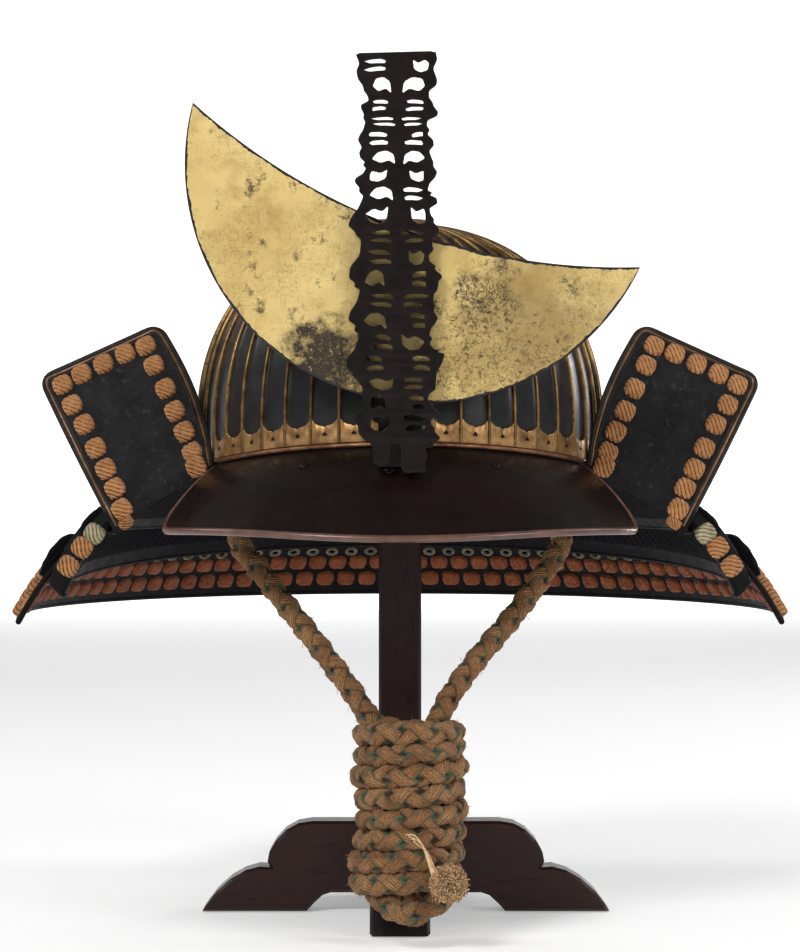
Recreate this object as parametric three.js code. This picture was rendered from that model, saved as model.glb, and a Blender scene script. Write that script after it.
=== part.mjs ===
// A ribbed samurai helmet (kabuto) on the plain wooden stand that holds it.
// Millimetres, +Z up, front towards -Y; the stand's post stands on x = 0, and the floor is z = 0.
import * as THREE from 'three';

// Fits
const GAP = 0.3;                 // between two pieces that touch
const CORD_GAP = 1.3;            // round a cord

// Bowl
const BOWL_HALF_WIDTH = 108.2;     // of the plates, without the ribs
const BOWL_HALF_LENGTH = 120.2;
const BOWL_TOP_Z = 370;
const BOWL_REAR_Z = 243;         // the base rim at the sides and the back
const BOWL_FRONT_RISE = 9.5;     // how much higher the base rim is at the front
const BOWL_WALL = 2.2;
const BOWL_BULGE = 2.2;          // exponent of the bowl's rounded outline
const RIBS = 46;
const RIB_WIDTH = 1.8;
const RIB_HEIGHT = 1.8;
const CROWN_HOLE_R = 14;
const CROWN_RIB_R = 21;          // the ribs end here, under the crown ring's foot

// Gilt band and the beads round the bowl's base
const BAND_SHOULDER = 12.7;      // height of the gilt panels beside the ribs
const BAND_DIP = 9;              // and where the black tongues come down
const BAND_WALL = 1.0;
const BEAD_D = 2.4;
const HIP_HEIGHT = 15;
const HIP_WALL = 2;
const HIP_OUT = 1.2;              // how far it stands out from the plates

// Visor
const VISOR_WALL = 2;
const VISOR_RIM_D = 3.8;
const VISOR_SIDE_REACH = 15.3;   // beyond the bowl's half width
const VISOR_FRONT_REACH = 49.8;  // beyond the bowl's front
const VISOR_END_SETBACK = 75;    // how far its ends lie behind its front
const VISOR_DROP = 40;           // of its rim below the bowl's rear rim
const VISOR_SPREAD = 61;         // degrees of the bowl's front on each side
const VISOR_CORNER_R = 15;
const RIVET_D = 4.6;

// Neck guard: for each lame's two edges, how far they lie out from the bowl's sides, out from its back and
// below its rear rim, how much higher they are at the back, the y of the front end's top and bottom, and how
// far the bottom corner hangs lower
const LAME_WALL = 2;
const LAME_RIM = 2.8;            // thickness of the rolled edges
const LAME_1 = { top: [2.5, 2.5, 4], bottom: [49.8, 45.8, 38.5], rear: [0, 3], ends: [-57, -55], corner: 0 };
const LAME_2 = { top: [47, 43, 31], bottom: [74.8, 64.4, 85], rear: [3, 36], ends: [-42, -42], corner: 0 };
const LAME_3 = { top: [65.8, 66.4, 44], bottom: [97.8, 91.8, 85], rear: [1, 7], ends: [-20, -20], corner: 4.5 };
const EAR_TOP_IN = [20.6, -32, 72.5];  // out from the bowl's side, y, and above its rear rim
const EAR_TOP_OUT = [83.8, -32, 44];
const EAR_HEIGHT = 78;
const EAR_WIDTH = 67;
const EAR_CORNER_R = 6;
const EAR_RIM = 3;               // width of the raised rim
const EAR_FOLD = 5;              // how far the fold stands forward
const TURNED_END = 10;           // the narrow turned end of the second lame

// Crests
const CRESCENT_OUTER_R = 120;
const CRESCENT_SPREAD = 84.8;    // degrees from the outer arc's middle to a tip
const CRESCENT_INNER_R = 320;
const CRESCENT_TILT = 20.2;      // degrees, with the left tip up
const CRESCENT_X = 8.3;          // middle of its chord
const CRESCENT_Z = 381;
const CRESCENT_WALL = 4;
const CREST_Y = -BOWL_HALF_LENGTH - 20.8; // the crescent's front face
const SPACER_D = 8;
const SPACER_LENGTH = 5;
const COLUMN_WALL = 3.5;
const COLUMN_WIDTH = 41;
const COLUMN_BOTTOM_Z = 235.5;
const COLUMN_TOP_Z = 448;
const COLUMN_X = -1;
const HOLDER_WIDTH = 22;
const HOLDER_TOP_Z = 318;
const HOLDER_WALL = 3;

// Chin cord
const CORD_D = 12;
const RING_WIRE = 2.6;
const BUNDLE = { x: 4.5, y: -137.5, halfWidth: 28.8, halfDepth: 28.8, bottom: 6.7, top: 111.4 };
const TURNS = 8;
const BRUSH_D = 20.8;
const BRUSH = { x: 24, z: 34, back: -160.6, front: -171.3 };
const LEFT_LEG = [[-77.5, -70, 230.1], [-80, -72.5, 219], [-84, -78, 202], [-71, -87, 184], [-56.5, -96, 166],
  [-41, -104.5, 148.6], [-25, -111, 130], [-9, -115.5, 114.8]];
const RIGHT_LEG = [[77.5, -70, 230.1], [80, -72.5, 219], [84, -78, 202], [72.4, -88, 181.5], [56.5, -98, 161],
  [41, -108, 143.5], [28, -118, 127], [21, -125, 115.8]];
const LEG_RING = [79.8, -72.4, 219.5]; // middle of the right ring
const BACK_HALF_WIDTH = 97.5;      // of the hidden stretch inside the hip band
const BACK_HALF_LENGTH = 109.5;
const BACK_Z = 236;

// Stand
const POST = 23;
const POST_BEVEL = 1.5;
const REST_R = 36;
const REST_HEIGHT = 24;
const FOOT_HEIGHT = 48.6;
const FOOT_HALF = 110;
const FOOT_SHIFT = 3.2;          // the side foot reaches this much further on the right
const SIDE_FOOT_WALL = 24;
const FRONT_FOOT_WALL = 31;
const FOOT_BEVEL = 1.5;
const ARCH_HEIGHT = 10;

const LOOKS = {
  plate: [0x2d2b2c, 0.45, 0.6],
  lacquer: [0x20140f, 0.25, 0.1],
  gilt: [0x966e41, 0.4, 0.8],
  leaf: [0xd7be7d, 0.4, 0.7],
  openwork: [0x231c1c, 0.25, 0.2],
  cord: [0x966e46, 0.9, 0],
  brush: [0xb99669, 0.95, 0],
  iron: [0x2a2624, 0.5, 0.7],
  wood: [0x2d1919, 0.4, 0],
  darkWood: [0x1e1c1c, 0.45, 0],
};

const model = new THREE.Group();
const rad = THREE.MathUtils.degToRad;
const lerp = THREE.MathUtils.lerp;
const mix = (p, q, t) => p.map((c, k) => lerp(c, q[k], t));
const mirrored = ([x, y, z]) => [-x, y, z];

/** Adds a solid from a list of points and triangles, welded, with its faces turned outwards. */
function addSolid(name, look, points, faces) {
  const ids = new Map();
  const kept = [];
  const at = points.map((p) => {
    const key = p.map((c) => Math.round(c * 1e4)).join();
    if (!ids.has(key)) ids.set(key, kept.push(p) - 1);
    return ids.get(key);
  });
  const triangles = faces.map((f) => f.map((i) => at[i]))
    .filter(([a, b, c]) => a !== b && b !== c && c !== a);
  let volume = 0;
  for (const f of triangles) {
    const [a, b, c] = f.map((i) => new THREE.Vector3(...kept[i]));
    volume += a.dot(b.cross(c));
  }
  if (volume < 0) triangles.forEach((f) => f.reverse());
  const geometry = new THREE.BufferGeometry();
  geometry.setAttribute('position', new THREE.Float32BufferAttribute(kept.flat(), 3));
  geometry.setIndex(triangles.flat());
  geometry.computeVertexNormals();
  const [color, roughness, metalness] = LOOKS[look];
  const mesh = new THREE.Mesh(geometry, new THREE.MeshStandardMaterial({ color, roughness, metalness }));
  mesh.name = name;
  model.add(mesh);
}

/** Two triangles for each cell of a grid of points; the grid may close on itself both ways. */
function gridFaces(cols, rows, closedCols, closedRows, start = 0) {
  const faces = [];
  for (let j = 0; j < (closedRows ? rows : rows - 1); j++) {
    for (let i = 0; i < (closedCols ? cols : cols - 1); i++) {
      const [i1, j1] = [(i + 1) % cols, (j + 1) % rows];
      const [a, b, c, d] = [[i, j], [i1, j], [i1, j1], [i, j1]].map(([u, v]) => start + v * cols + u);
      faces.push([a, b, c], [a, c, d]);
    }
  }
  return faces;
}

/** A solid through rings of the same number of points. Its ends are closed flat, or it closes on itself. */
function addLoft(name, look, rings, closed = false) {
  const n = rings[0].length;
  const faces = gridFaces(n, rings.length, true, closed);
  if (!closed) {
    const last = (rings.length - 1) * n;
    for (let i = 1; i < n - 1; i++) faces.push([0, i + 1, i], [last, last + i, last + i + 1]);
  }
  addSolid(name, look, rings.flat(), faces);
}

/** A sheet with thickness: stations[i][j] is a point, and thick(i, j) its thickness there. */
function addSheet(name, look, stations, thick) {
  const [cols, rows] = [stations[0].length, stations.length];
  const v = (i, j) => new THREE.Vector3(...stations[i][j]);
  const sides = [[], []];
  for (let i = 0; i < rows; i++) {
    for (let j = 0; j < cols; j++) {
      const along = v(Math.min(i + 1, rows - 1), j).sub(v(Math.max(i - 1, 0), j));
      const across = v(i, Math.min(j + 1, cols - 1)).sub(v(i, Math.max(j - 1, 0)));
      const normal = along.cross(across).normalize();
      const point = v(i, j);
      const half = thick(i, j) / 2;
      sides[0].push(point.clone().addScaledVector(normal, half).toArray());
      sides[1].push(point.addScaledVector(normal, -half).toArray());
    }
  }
  const count = rows * cols;
  const faces = gridFaces(cols, rows, false, false);
  faces.push(...gridFaces(cols, rows, false, false, count).map((f) => f.reverse()));
  const border = [];
  for (let j = 0; j < cols - 1; j++) border.push(j);
  for (let i = 0; i < rows - 1; i++) border.push(i * cols + cols - 1);
  for (let j = cols - 1; j > 0; j--) border.push((rows - 1) * cols + j);
  for (let i = rows - 1; i > 0; i--) border.push(i * cols);
  border.forEach((a, k) => {
    const b = border[(k + 1) % border.length];
    faces.push([b, a, a + count], [b, a + count, b + count]);
  });
  addSolid(name, look, sides.flat(), faces);
}

/** A flat outline with holes in x and z, drawn out along y from y0 to y1, with small bevels if asked. */
function addPlate(name, look, outline, holes, y0, y1, bevel = 0, turn = null) {
  const shape = new THREE.Shape(outline.map((p) => new THREE.Vector2(...p)));
  for (const hole of holes) shape.holes.push(new THREE.Path(hole.map((p) => new THREE.Vector2(...p))));
  const geometry = new THREE.ExtrudeGeometry(shape, {
    depth: y1 - y0 - 2 * bevel, curveSegments: 1, bevelEnabled: bevel > 0, bevelSegments: 1,
    bevelSize: bevel, bevelThickness: bevel, bevelOffset: -bevel,
  });
  const at = geometry.getAttribute('position');
  const points = [];
  for (let i = 0; i < at.count; i++) {
    const p = [at.getX(i), y1 - bevel - at.getZ(i), at.getY(i)];
    points.push(turn ? turn(p) : p);
  }
  const order = geometry.index ? [...geometry.index.array] : points.map((_, i) => i);
  const faces = [];
  for (let i = 0; i < order.length; i += 3) faces.push(order.slice(i, i + 3));
  addSolid(name, look, points, faces);
}

/** Points of a circle of radius r round c, in the plane of the unit vectors e and f. */
function circle(c, r, n, e, f) {
  return Array.from({ length: n }, (_, i) => {
    const t = (2 * Math.PI * i) / n;
    return c.map((v, k) => v + r * (e[k] * Math.cos(t) + f[k] * Math.sin(t)));
  });
}

/** A round cord along a path, stepped in about two diameters. */
function addCord(name, path, diameter) {
  const curve = new THREE.CatmullRomCurve3(path.map((p) => new THREE.Vector3(...p)), false, 'centripetal');
  const steps = Math.max(4, Math.round(curve.getLength() / (1.6 * diameter)));
  let e = new THREE.Vector3(0, 1, 0);
  const rings = [];
  for (let i = 0; i <= steps; i++) {
    const t = curve.getTangentAt(i / steps);
    e = e.addScaledVector(t, -e.dot(t)).normalize();
    const f = t.clone().cross(e);
    rings.push(circle(curve.getPointAt(i / steps).toArray(), diameter / 2, 8, e.toArray(), f.toArray()));
  }
  addLoft(name, 'cord', rings);
}

// The bowl's outline. s runs round it from the front, evenly along its rim.
const UNEVEN = (BOWL_HALF_LENGTH - BOWL_HALF_WIDTH) / (BOWL_HALF_LENGTH + BOWL_HALF_WIDTH) / 2;
const angleAt = (s) => s + UNEVEN * Math.sin(2 * s);
const SHOULDER_Z = BOWL_REAR_Z + 19;
const DOME = BOWL_TOP_Z - SHOULDER_Z;

/** A point of the bowl's plates in direction angle, moved out by away; share is 1 at the rim, 0 on top. */
function onBowl(angle, share, z, away = 0) {
  const [a, b] = [BOWL_HALF_WIDTH * share + away, BOWL_HALF_LENGTH * share + away];
  return [a * Math.sin(angle), -b * Math.cos(angle), z];
}

/** The height of the bowl's base rim in direction angle. */
function baseZ(angle) {
  const forward = Math.max(0, (Math.cos(angle) - 0.35) / 0.65);
  return BOWL_REAR_Z + BOWL_FRONT_RISE * forward ** 1.3;
}

/** The share of the full radius that the dome has at lift, and the height there. */
function domeAt(lift, drop = 0) {
  const t = (lift * Math.PI) / 2;
  return [Math.cos(t) ** (2 / BOWL_BULGE), SHOULDER_Z + (DOME - drop) * Math.sin(t) ** (2 / BOWL_BULGE)];
}

/** How far a point moves out and up when it moves by 1 square to the dome's plates. */
function domeNormal(share) {
  const [out, up] = [share ** (BOWL_BULGE - 1) / BOWL_HALF_WIDTH,
    (1 - share ** BOWL_BULGE) ** (1 - 1 / BOWL_BULGE) / DOME];
  return [out / Math.hypot(out, up), up / Math.hypot(out, up)];
}

/** The lift at which the dome's radius has come down to r. */
function liftAt(r) {
  return (2 / Math.PI) * Math.acos((r / BOWL_HALF_WIDTH) ** (BOWL_BULGE / 2));
}

// The rows of the bowl's lining side above its rim, as shares of the full radius and heights.
const LINING = [0, 0.25, 0.48, 0.68, liftAt(REST_R + 4), liftAt(CROWN_HOLE_R + BOWL_WALL)]
  .map((lift) => domeAt(lift, BOWL_WALL));

// The ribbed bowl with the hole in its crown.
{
  const step = (2 * Math.PI) / RIBS;
  const outer = [];
  const lifts = [0, 0.17, 0.34, 0.5, 0.65, 0.79, liftAt(CROWN_RIB_R)];
  const ribHalf = (r) => Math.min(RIB_WIDTH / 2 / r, 0.3 * step);
  const row = (share, height, rib) => {
    const half = ribHalf(BOWL_HALF_WIDTH * share);
    const [nr, nz] = domeNormal(share);
    const ring = [];
    for (let k = 0; k < RIBS; k++) {
      for (const [side, out] of [[-1, 0], [0, rib], [1, 0]]) {
        const angle = angleAt(k * step + side * half);
        ring.push(onBowl(angle, share, height(angle) + out * nz, out * nr));
      }
    }
    outer.push(ring);
  };
  const overBand = (angle) => baseZ(angle) + BAND_SHOULDER + GAP;
  row(1, baseZ, 0);
  row(1, overBand, 0);
  row(1, overBand, RIB_HEIGHT);
  for (const lift of lifts) {
    const [share, z] = domeAt(lift);
    row(share, lift === 0 ? (angle) => Math.max(z, overBand(angle) + 1) : () => z, RIB_HEIGHT);
  }
  for (const r of [CROWN_RIB_R, CROWN_HOLE_R]) {
    const [share, z] = domeAt(liftAt(r));
    row(share, () => z, 0);
  }
  const n = outer[0].length;
  const points = outer.flat();
  const faces = gridFaces(n, outer.length, true, false);
  // The lining side has one column for each rib.
  const inner = [];
  const innerRow = (share, height) => {
    inner.push(Array.from({ length: RIBS }, (_, k) => {
      const angle = angleAt(k * step);
      return onBowl(angle, share, height(angle), -BOWL_WALL);
    }));
  };
  innerRow(1, baseZ);
  for (const [share, z] of LINING) innerRow(share, () => z);
  const first = points.length;
  points.push(...inner.flat());
  faces.push(...gridFaces(RIBS, inner.length, true, false, first).map((f) => f.reverse()));
  const join = (ringStart, innerStart, flip) => {
    for (let k = 0; k < RIBS; k++) {
      const next = (k + 1) % RIBS;
      const [a, b] = [innerStart + k, innerStart + next];
      const o = Array.from({ length: 4 }, (_, i) => ringStart + ((3 * k + i) % n));
      const strip = [[a, o[0], o[1]], [a, o[1], o[2]], [a, o[2], b], [b, o[2], o[3]]];
      faces.push(...strip.map((f) => (flip ? f.reverse() : f)));
    }
  };
  join(0, first, true);
  join((outer.length - 1) * n, first + (inner.length - 1) * RIBS, false);
  addSolid('bowl', 'plate', points, faces);
}

// The crown ring: a low gilt collar on the ribs' upper ends, with its own hole.
{
  const [inZ, outZ] = [CROWN_HOLE_R, CROWN_RIB_R].map((r) => domeAt(liftAt(r))[1] + GAP);
  const [r0, r1] = [CROWN_HOLE_R + GAP, CROWN_RIB_R - 1];
  const profile = [[r0, inZ], [r1, outZ + 0.3], [r1, outZ + 2.6], [r1 - 1.6, inZ + 3.6], [r0 + 1, inZ + 4], [r0, inZ + 3]];
  const rings = Array.from({ length: 24 }, (_, i) => {
    const t = (2 * Math.PI * i) / 24;
    return profile.map(([r, z]) => onBowl(t, r / BOWL_HALF_WIDTH, z));
  });
  addLoft('crown_ring', 'gilt', rings, true);
}

// The gilt band: a panel between each two ribs, where a black tongue comes down over it.
{
  const step = (2 * Math.PI) / RIBS;
  const half = RIB_WIDTH / 2 / BOWL_HALF_WIDTH;
  const [outer, inner] = [GAP + BAND_WALL, GAP];
  const columns = [[-half, outer, BAND_SHOULDER], [0, RIB_HEIGHT + GAP, BAND_SHOULDER],
    [half, outer, BAND_SHOULDER], [step / 2, outer, BAND_DIP]];
  const rings = [];
  for (let k = 0; k < RIBS; k++) {
    for (const [turn, out, height] of columns) {
      const angle = angleAt(k * step + turn);
      const z = baseZ(angle);
      rings.push([onBowl(angle, 1, z + 0.2, out), onBowl(angle, 1, z + height, out),
        onBowl(angle, 1, z + height, inner), onBowl(angle, 1, z + 0.2, inner)]);
    }
  }
  addLoft('gilt_base_band', 'gilt', rings, true);
}

/** A ring of the given section round the bowl's base; the section's points are [out, up]. */
function addBaseRing(name, look, section, count) {
  addLoft(name, look, Array.from({ length: count }, (_, i) => {
    const angle = angleAt((2 * Math.PI * i) / count);
    return section.map(([out, up]) => onBowl(angle, 1, baseZ(angle) + up, out));
  }), true);
}

// The bead under the band, and the plain hip band that carries the visor and the neck guard.
const beadSection = Array.from({ length: 5 }, (_, i) => {
  const t = (Math.PI * (2 * i + 1)) / 5;
  return [GAP + BEAD_D / 2 + (BEAD_D / 2) * Math.cos(t), -BEAD_D / 2 - 0.1 + (BEAD_D / 2) * Math.sin(t)];
});
addBaseRing('base_bead', 'gilt', beadSection, 60);
addBaseRing('hip_band', 'lacquer', [[0, -GAP], [0, -BEAD_D - 2 * GAP], [HIP_OUT, -BEAD_D - 2 * GAP],
  [HIP_OUT, -HIP_HEIGHT], [-HIP_WALL, -HIP_HEIGHT], [-HIP_WALL, -GAP]], 46);

/** A point of the visor's middle surface: s from -1 to 1 across, v from 0 at the bowl to 1 at the rim. */
function onVisor(s, v) {
  const angle = rad(VISOR_SPREAD) * s;
  const [x0, y0, z0] = onBowl(angle, 1, baseZ(angle) - BEAD_D - GAP - VISOR_WALL, HIP_OUT + GAP + VISOR_WALL / 2);
  const turn = rad(80) * s;
  const x1 = ((BOWL_HALF_WIDTH + VISOR_SIDE_REACH) * Math.sin(turn)) / Math.sin(rad(80));
  const y1 = -BOWL_HALF_LENGTH - VISOR_FRONT_REACH + (VISOR_END_SETBACK * (1 - Math.cos(turn))) / (1 - Math.cos(rad(80)));
  const z1 = BOWL_REAR_Z - VISOR_DROP + 3 * s * s + 2.2 * Math.sin(Math.PI * Math.min(1, Math.abs(s) / 1.1)) ** 2;
  const sag = 3 * Math.sin(Math.PI * v);
  return [lerp(x0, x1, v), lerp(y0, y1, v) - sag * 0.4, lerp(z0, z1, v) + sag];
}

// The visor, with a rolled rim and rounded corners.
{
  const sides = [-1, -0.985, -0.955, -0.9, -0.8, -0.66, -0.5, -0.34, -0.17, 0];
  sides.push(...sides.slice(0, -1).reverse().map((s) => -s));
  const rimStart = 1 - VISOR_RIM_D / 68;
  const reach = (s) => {
    const d = Math.min(VISOR_CORNER_R, (1 - Math.abs(s)) * 150);
    const inset = VISOR_CORNER_R - Math.sqrt(VISOR_CORNER_R ** 2 - (VISOR_CORNER_R - d) ** 2);
    return 1 - inset / 60;
  };
  const rows = [0, 0.25, 0.5, 0.75, rimStart - 0.015, rimStart, 1];
  const stations = sides.map((s) => rows.map((v) => onVisor(s, v * reach(s))));
  addSheet('visor', 'lacquer', stations, (i, j) => (j >= 5 ? VISOR_RIM_D : VISOR_WALL));
}

// Three low lacquered rivet heads on the visor.
for (const [name, s, v] of [['left', -0.385, 0.22], ['centre', -0.04, 0.3], ['right', 0.385, 0.22]]) {
  const c = new THREE.Vector3(...onVisor(s, v));
  const e = new THREE.Vector3(...onVisor(s + 0.03, v)).sub(c).normalize();
  const d = new THREE.Vector3(...onVisor(s, v + 0.05)).sub(c);
  const n = e.clone().cross(d).normalize();
  const up = n.z < 0 ? n.negate() : n;
  const f = up.clone().cross(e).normalize();
  const rings = [[0, 1], [0.55, 0.9], [1.1, 0.55]].map(([h, share]) => {
    const at = c.clone().addScaledVector(up, VISOR_WALL / 2 + 0.15 + h);
    return circle(at.toArray(), (RIVET_D / 2) * share, 12, e.toArray(), f.toArray());
  });
  addLoft(`visor_rivet_${name}`, 'lacquer', rings);
}

/** A point of a lame: side -1 is the left half, a the direction from the front, v from top to bottom edge. */
function onLame(lame, a, v, bulge) {
  const [side, back, drop] = [0, 1, 2].map((k) => lerp(lame.top[k], lame.bottom[k], v));
  const [w, l, z] = [BOWL_HALF_WIDTH + side, BOWL_HALF_LENGTH + back, BOWL_REAR_Z - drop];
  const out = bulge * Math.sin(Math.PI * v);
  const rise = (lerp(lame.rear[0], lame.rear[1], v) * (1 - Math.cos(a))) / 2;
  return [(w + out) * Math.sin(a), -(l + out) * Math.cos(a), z + rise + out * 0.6];
}

/** The direction of a lame's front end at v. */
function lameEnd(lame, v) {
  return Math.acos(-lerp(lame.ends[0], lame.ends[1], v) / (BOWL_HALF_LENGTH + lerp(lame.top[1], lame.bottom[1], v)));
}

const LAME_ROWS = [0, 0.055, 0.075, 0.5, 0.92, 0.945, 1];
const thickRow = (j) => (j < 2 || j > LAME_ROWS.length - 3 ? LAME_RIM : LAME_WALL);

/** The stations of a lame round the back, from its left front end to its right one. */
function lameStations(lame, count, bulge) {
  return Array.from({ length: count + 1 }, (_, i) => LAME_ROWS.map((v) => {
    const end = lameEnd(lame, v);
    const [x, y, z] = onLame(lame, -lerp(end, 2 * Math.PI - end, i / count), v, bulge);
    const near = Math.max(0, 1 - Math.min(i, count - i) / 1.6);
    return [x, y, z - lame.corner * v * near];
  }));
}

// The first lame runs on into the two large turned-back ears.
{
  const back = lameStations(LAME_1, 30, 2);
  const foldAt = back[0];
  const [topIn, topOut] = [EAR_TOP_IN, EAR_TOP_OUT].map(([out, y, up]) => [-BOWL_HALF_WIDTH - out, y, BOWL_REAR_Z + up]);
  const drops = [0, EAR_CORNER_R * 0.3, EAR_RIM, EAR_CORNER_R, EAR_CORNER_R + 1, EAR_HEIGHT * 0.4, EAR_HEIGHT * 0.7];
  const ear = drops.map((d) => LAME_ROWS.map((v) => {
    const inset = d < EAR_CORNER_R ? EAR_CORNER_R - Math.sqrt(EAR_CORNER_R ** 2 - (EAR_CORNER_R - d) ** 2) : 0;
    const share = lerp(inset / EAR_WIDTH, 1 - inset / EAR_WIDTH, v);
    const e = 1 - d / EAR_HEIGHT;
    const p = mix(mix(foldAt[0], foldAt.at(-1), share), mix(topIn, topOut, share), e);
    const swell = Math.sin(Math.PI * e) * (1 - v);
    return [p[0] + 4.7 * swell, p[1] - 7 * Math.sin(Math.PI * e), p[2] + 1.5 * swell];
  }));
  const fold = [[0.12, 1.1], [0.03, 0.9]].map(([e, forward]) => foldAt.map((p, j) => {
    const q = mix(p, mix(topIn, topOut, LAME_ROWS[j]), e);
    return [q[0], q[1] - EAR_FOLD * forward, q[2] + 1];
  }));
  const left = [...ear, ...fold];
  const right = left.map((row) => row.map(mirrored)).reverse();
  const stations = [...left, ...back, ...right];
  const earRim = 4;
  addSheet('lame_1_with_ears', 'lacquer', stations, (i, j) => (
    Math.min(i, stations.length - 1 - i) < earRim ? LAME_RIM : thickRow(j)));
}

// The second lame has a narrow turned end on each side.
{
  const back = lameStations(LAME_2, 30, 2.5);
  const end = back[0];
  const left = [[-0.72 * TURNED_END, 2, 0.68 * TURNED_END], [-0.35 * TURNED_END, -2, 0.33 * TURNED_END], [-1.2, -3.5, 1]]
    .map((move, k) => end.map((p, j) => p.map((c, n) => c + move[n] * (k < 2 && j < 2 ? 0.75 : 1))));
  const right = left.map((row) => row.map(mirrored)).reverse();
  addSheet('lame_2', 'lacquer', [...left, ...back, ...right], (i, j) => thickRow(j));
}

// The third and lowest lame ends plainly.
addSheet('lame_3', 'lacquer', lameStations(LAME_3, 30, 2), (i, j) => thickRow(j));

// The crescent crest.
{
  const wide = rad(CRESCENT_SPREAD);
  const half = CRESCENT_OUTER_R * Math.sin(wide);
  const arc = (r, from, to, n) => Array.from({ length: n + 1 }, (_, i) => {
    const t = lerp(from, to, i / n);
    return [r * Math.sin(t), Math.sqrt(r * r - half * half) - r * Math.cos(t)];
  });
  const outer = arc(CRESCENT_OUTER_R, -wide, wide, 44);
  const narrow = Math.asin((half - 0.6) / CRESCENT_INNER_R);
  const inner = arc(CRESCENT_INNER_R, narrow, -narrow, 20);
  const [c, s] = [Math.cos(rad(-CRESCENT_TILT)), Math.sin(rad(-CRESCENT_TILT))];
  const outline = [...outer, ...inner].map(([x, z]) => [CRESCENT_X + x * c - z * s, CRESCENT_Z + x * s + z * c]);
  addPlate('crescent_crest', 'leaf', outline, [], CREST_Y, CREST_Y + CRESCENT_WALL);
}

// The openwork crest: a tall fretted plate of clouds and flames. Its uneven sides are shares of half its
// width and of its height, from the foot of the right prong up to the top, and down on the left.
const RIGHT_SIDE = [[0.08, 0.003], [0.72, 0.006], [0.66, 0.06], [0.86, 0.066], [1.02, 0.09], [0.8, 0.12], [0.98, 0.148],
  [0.72, 0.178], [0.92, 0.21], [1.14, 0.285], [0.88, 0.295], [0.76, 0.33], [0.98, 0.368], [0.86, 0.41], [0.98, 0.445],
  [1.06, 0.47], [0.78, 0.5], [0.84, 0.54], [1, 0.58], [0.8, 0.61], [0.94, 0.65], [0.72, 0.668], [0.96, 0.711],
  [0.82, 0.744], [0.86, 0.786], [0.7, 0.82], [0.98, 0.852], [0.76, 0.885], [0.96, 0.927], [0.92, 0.995]];
const LEFT_SIDE = [[-1.04, 0.99], [-0.98, 0.93], [-0.74, 0.89], [-0.9, 0.86], [-0.8, 0.828], [-0.98, 0.786],
  [-0.92, 0.744], [-0.78, 0.72], [-1.06, 0.688], [-0.84, 0.655], [-1.22, 0.585], [-0.9, 0.552], [-1.2, 0.462],
  [-0.92, 0.434], [-1.22, 0.364], [-0.94, 0.329], [-1.26, 0.251], [-1, 0.223], [-0.82, 0.176], [-1.08, 0.13],
  [-0.86, 0.085], [-0.62, 0.07], [-0.6, 0.021], [-0.2, 0.025], [-0.18, 0.075], [0.06, 0.07]];
// Its gaps, tier by tier: height of the tier's middle, half its height, and the gaps' places and half-widths.
const TIERS = [[0.962, 0.017, 0.55, 0.27], [0.915, 0.02, 0.38, 0.28], [0.868, 0.015, 0.5, 0.26], [0.83, 0.012, 0.36, 0.24],
  [0.79, 0.018, 0.5, 0.26], [0.745, 0.017, 0.36, 0.26], [0.703, 0.015, 0.52, 0.28], [0.66, 0.018, 0.36, 0.26],
  [0.61, 0.022, 0.52, 0.26], [0.56, 0.017, 0.4, 0.28], [0.512, 0.02, 0.44, 0.24], [0.46, 0.022, 0.56, 0.26],
  [0.41, 0.018, 0.4, 0.28], [0.362, 0.02, 0.54, 0.26], [0.312, 0.02, 0.38, 0.27], [0.262, 0.02, 0.6, 0.27],
  [0.215, 0.016, 0.38, 0.27], [0.17, 0.018, 0.5, 0.22], [0.122, 0.02, 0.42, 0.26]];
{
  const [w, tall] = [COLUMN_WIDTH / 2, COLUMN_TOP_Z - COLUMN_BOTTOM_Z];
  const place = ([x, z]) => [COLUMN_X + x * w, COLUMN_BOTTOM_Z + z * tall];
  // A comma-shaped gap that curls up or down towards the middle.
  const comma = (x, z, dx, dz) => [[-1, -0.2], [-0.55, 0.75], [0.2, 1], [0.85, 0.5], [1, -0.9], [0.45, -0.35],
    [-0.3, -0.75]].map(([u, v]) => place([x + u * dx, z + v * dz]));
  const lozenge = (x, z, dx, dz) => [[-1, 0], [0, 1], [1, 0], [0, -1]].map(([u, v]) => place([x + u * dx, z + v * dz]));
  const holes = TIERS.flatMap(([z, half, x, dx], k) => {
    const curl = k % 2 ? half : -half;
    const gaps = [comma(-x, z, dx, curl), comma(x, z, -dx, curl)];
    if (x > 0.43) gaps.push(lozenge(0, z, 0.13, half * 0.9));
    return gaps;
  });
  const y1 = CREST_Y - SPACER_LENGTH;
  addPlate('openwork_crest', 'openwork', [...RIGHT_SIDE, ...LEFT_SIDE].map(place), holes, y1 - COLUMN_WALL, y1);
}

// Two spacers hold the openwork crest off the crescent.
for (const [name, z] of [['upper', 330], ['lower', 290]]) {
  const rings = [CREST_Y - SPACER_LENGTH + GAP, CREST_Y - GAP]
    .map((y) => circle([COLUMN_X, y, z], SPACER_D / 2, 14, [1, 0, 0], [0, 0, 1]));
  addLoft(`crest_spacer_${name}`, 'iron', rings);
}

// The plain holder behind the crests, standing on the visor.
{
  const y0 = CREST_Y + CRESCENT_WALL + GAP;
  const y1 = y0 + HOLDER_WALL;
  const visorZ = (y) => {
    let v = 0;
    while (onVisor(0, v)[1] > y) v += 0.002;
    return onVisor(0, v)[2] + VISOR_WALL * 0.85 + GAP;
  };
  const half = HOLDER_WIDTH / 2;
  const ring = (x) => [[x, y0, visorZ(y0)], [x, y1, visorZ(y1)], [x, y1, HOLDER_TOP_Z], [x, y0, HOLDER_TOP_Z]];
  addLoft('crest_holder', 'iron', [ring(-half), ring(0), ring(half)]);
}

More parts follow.
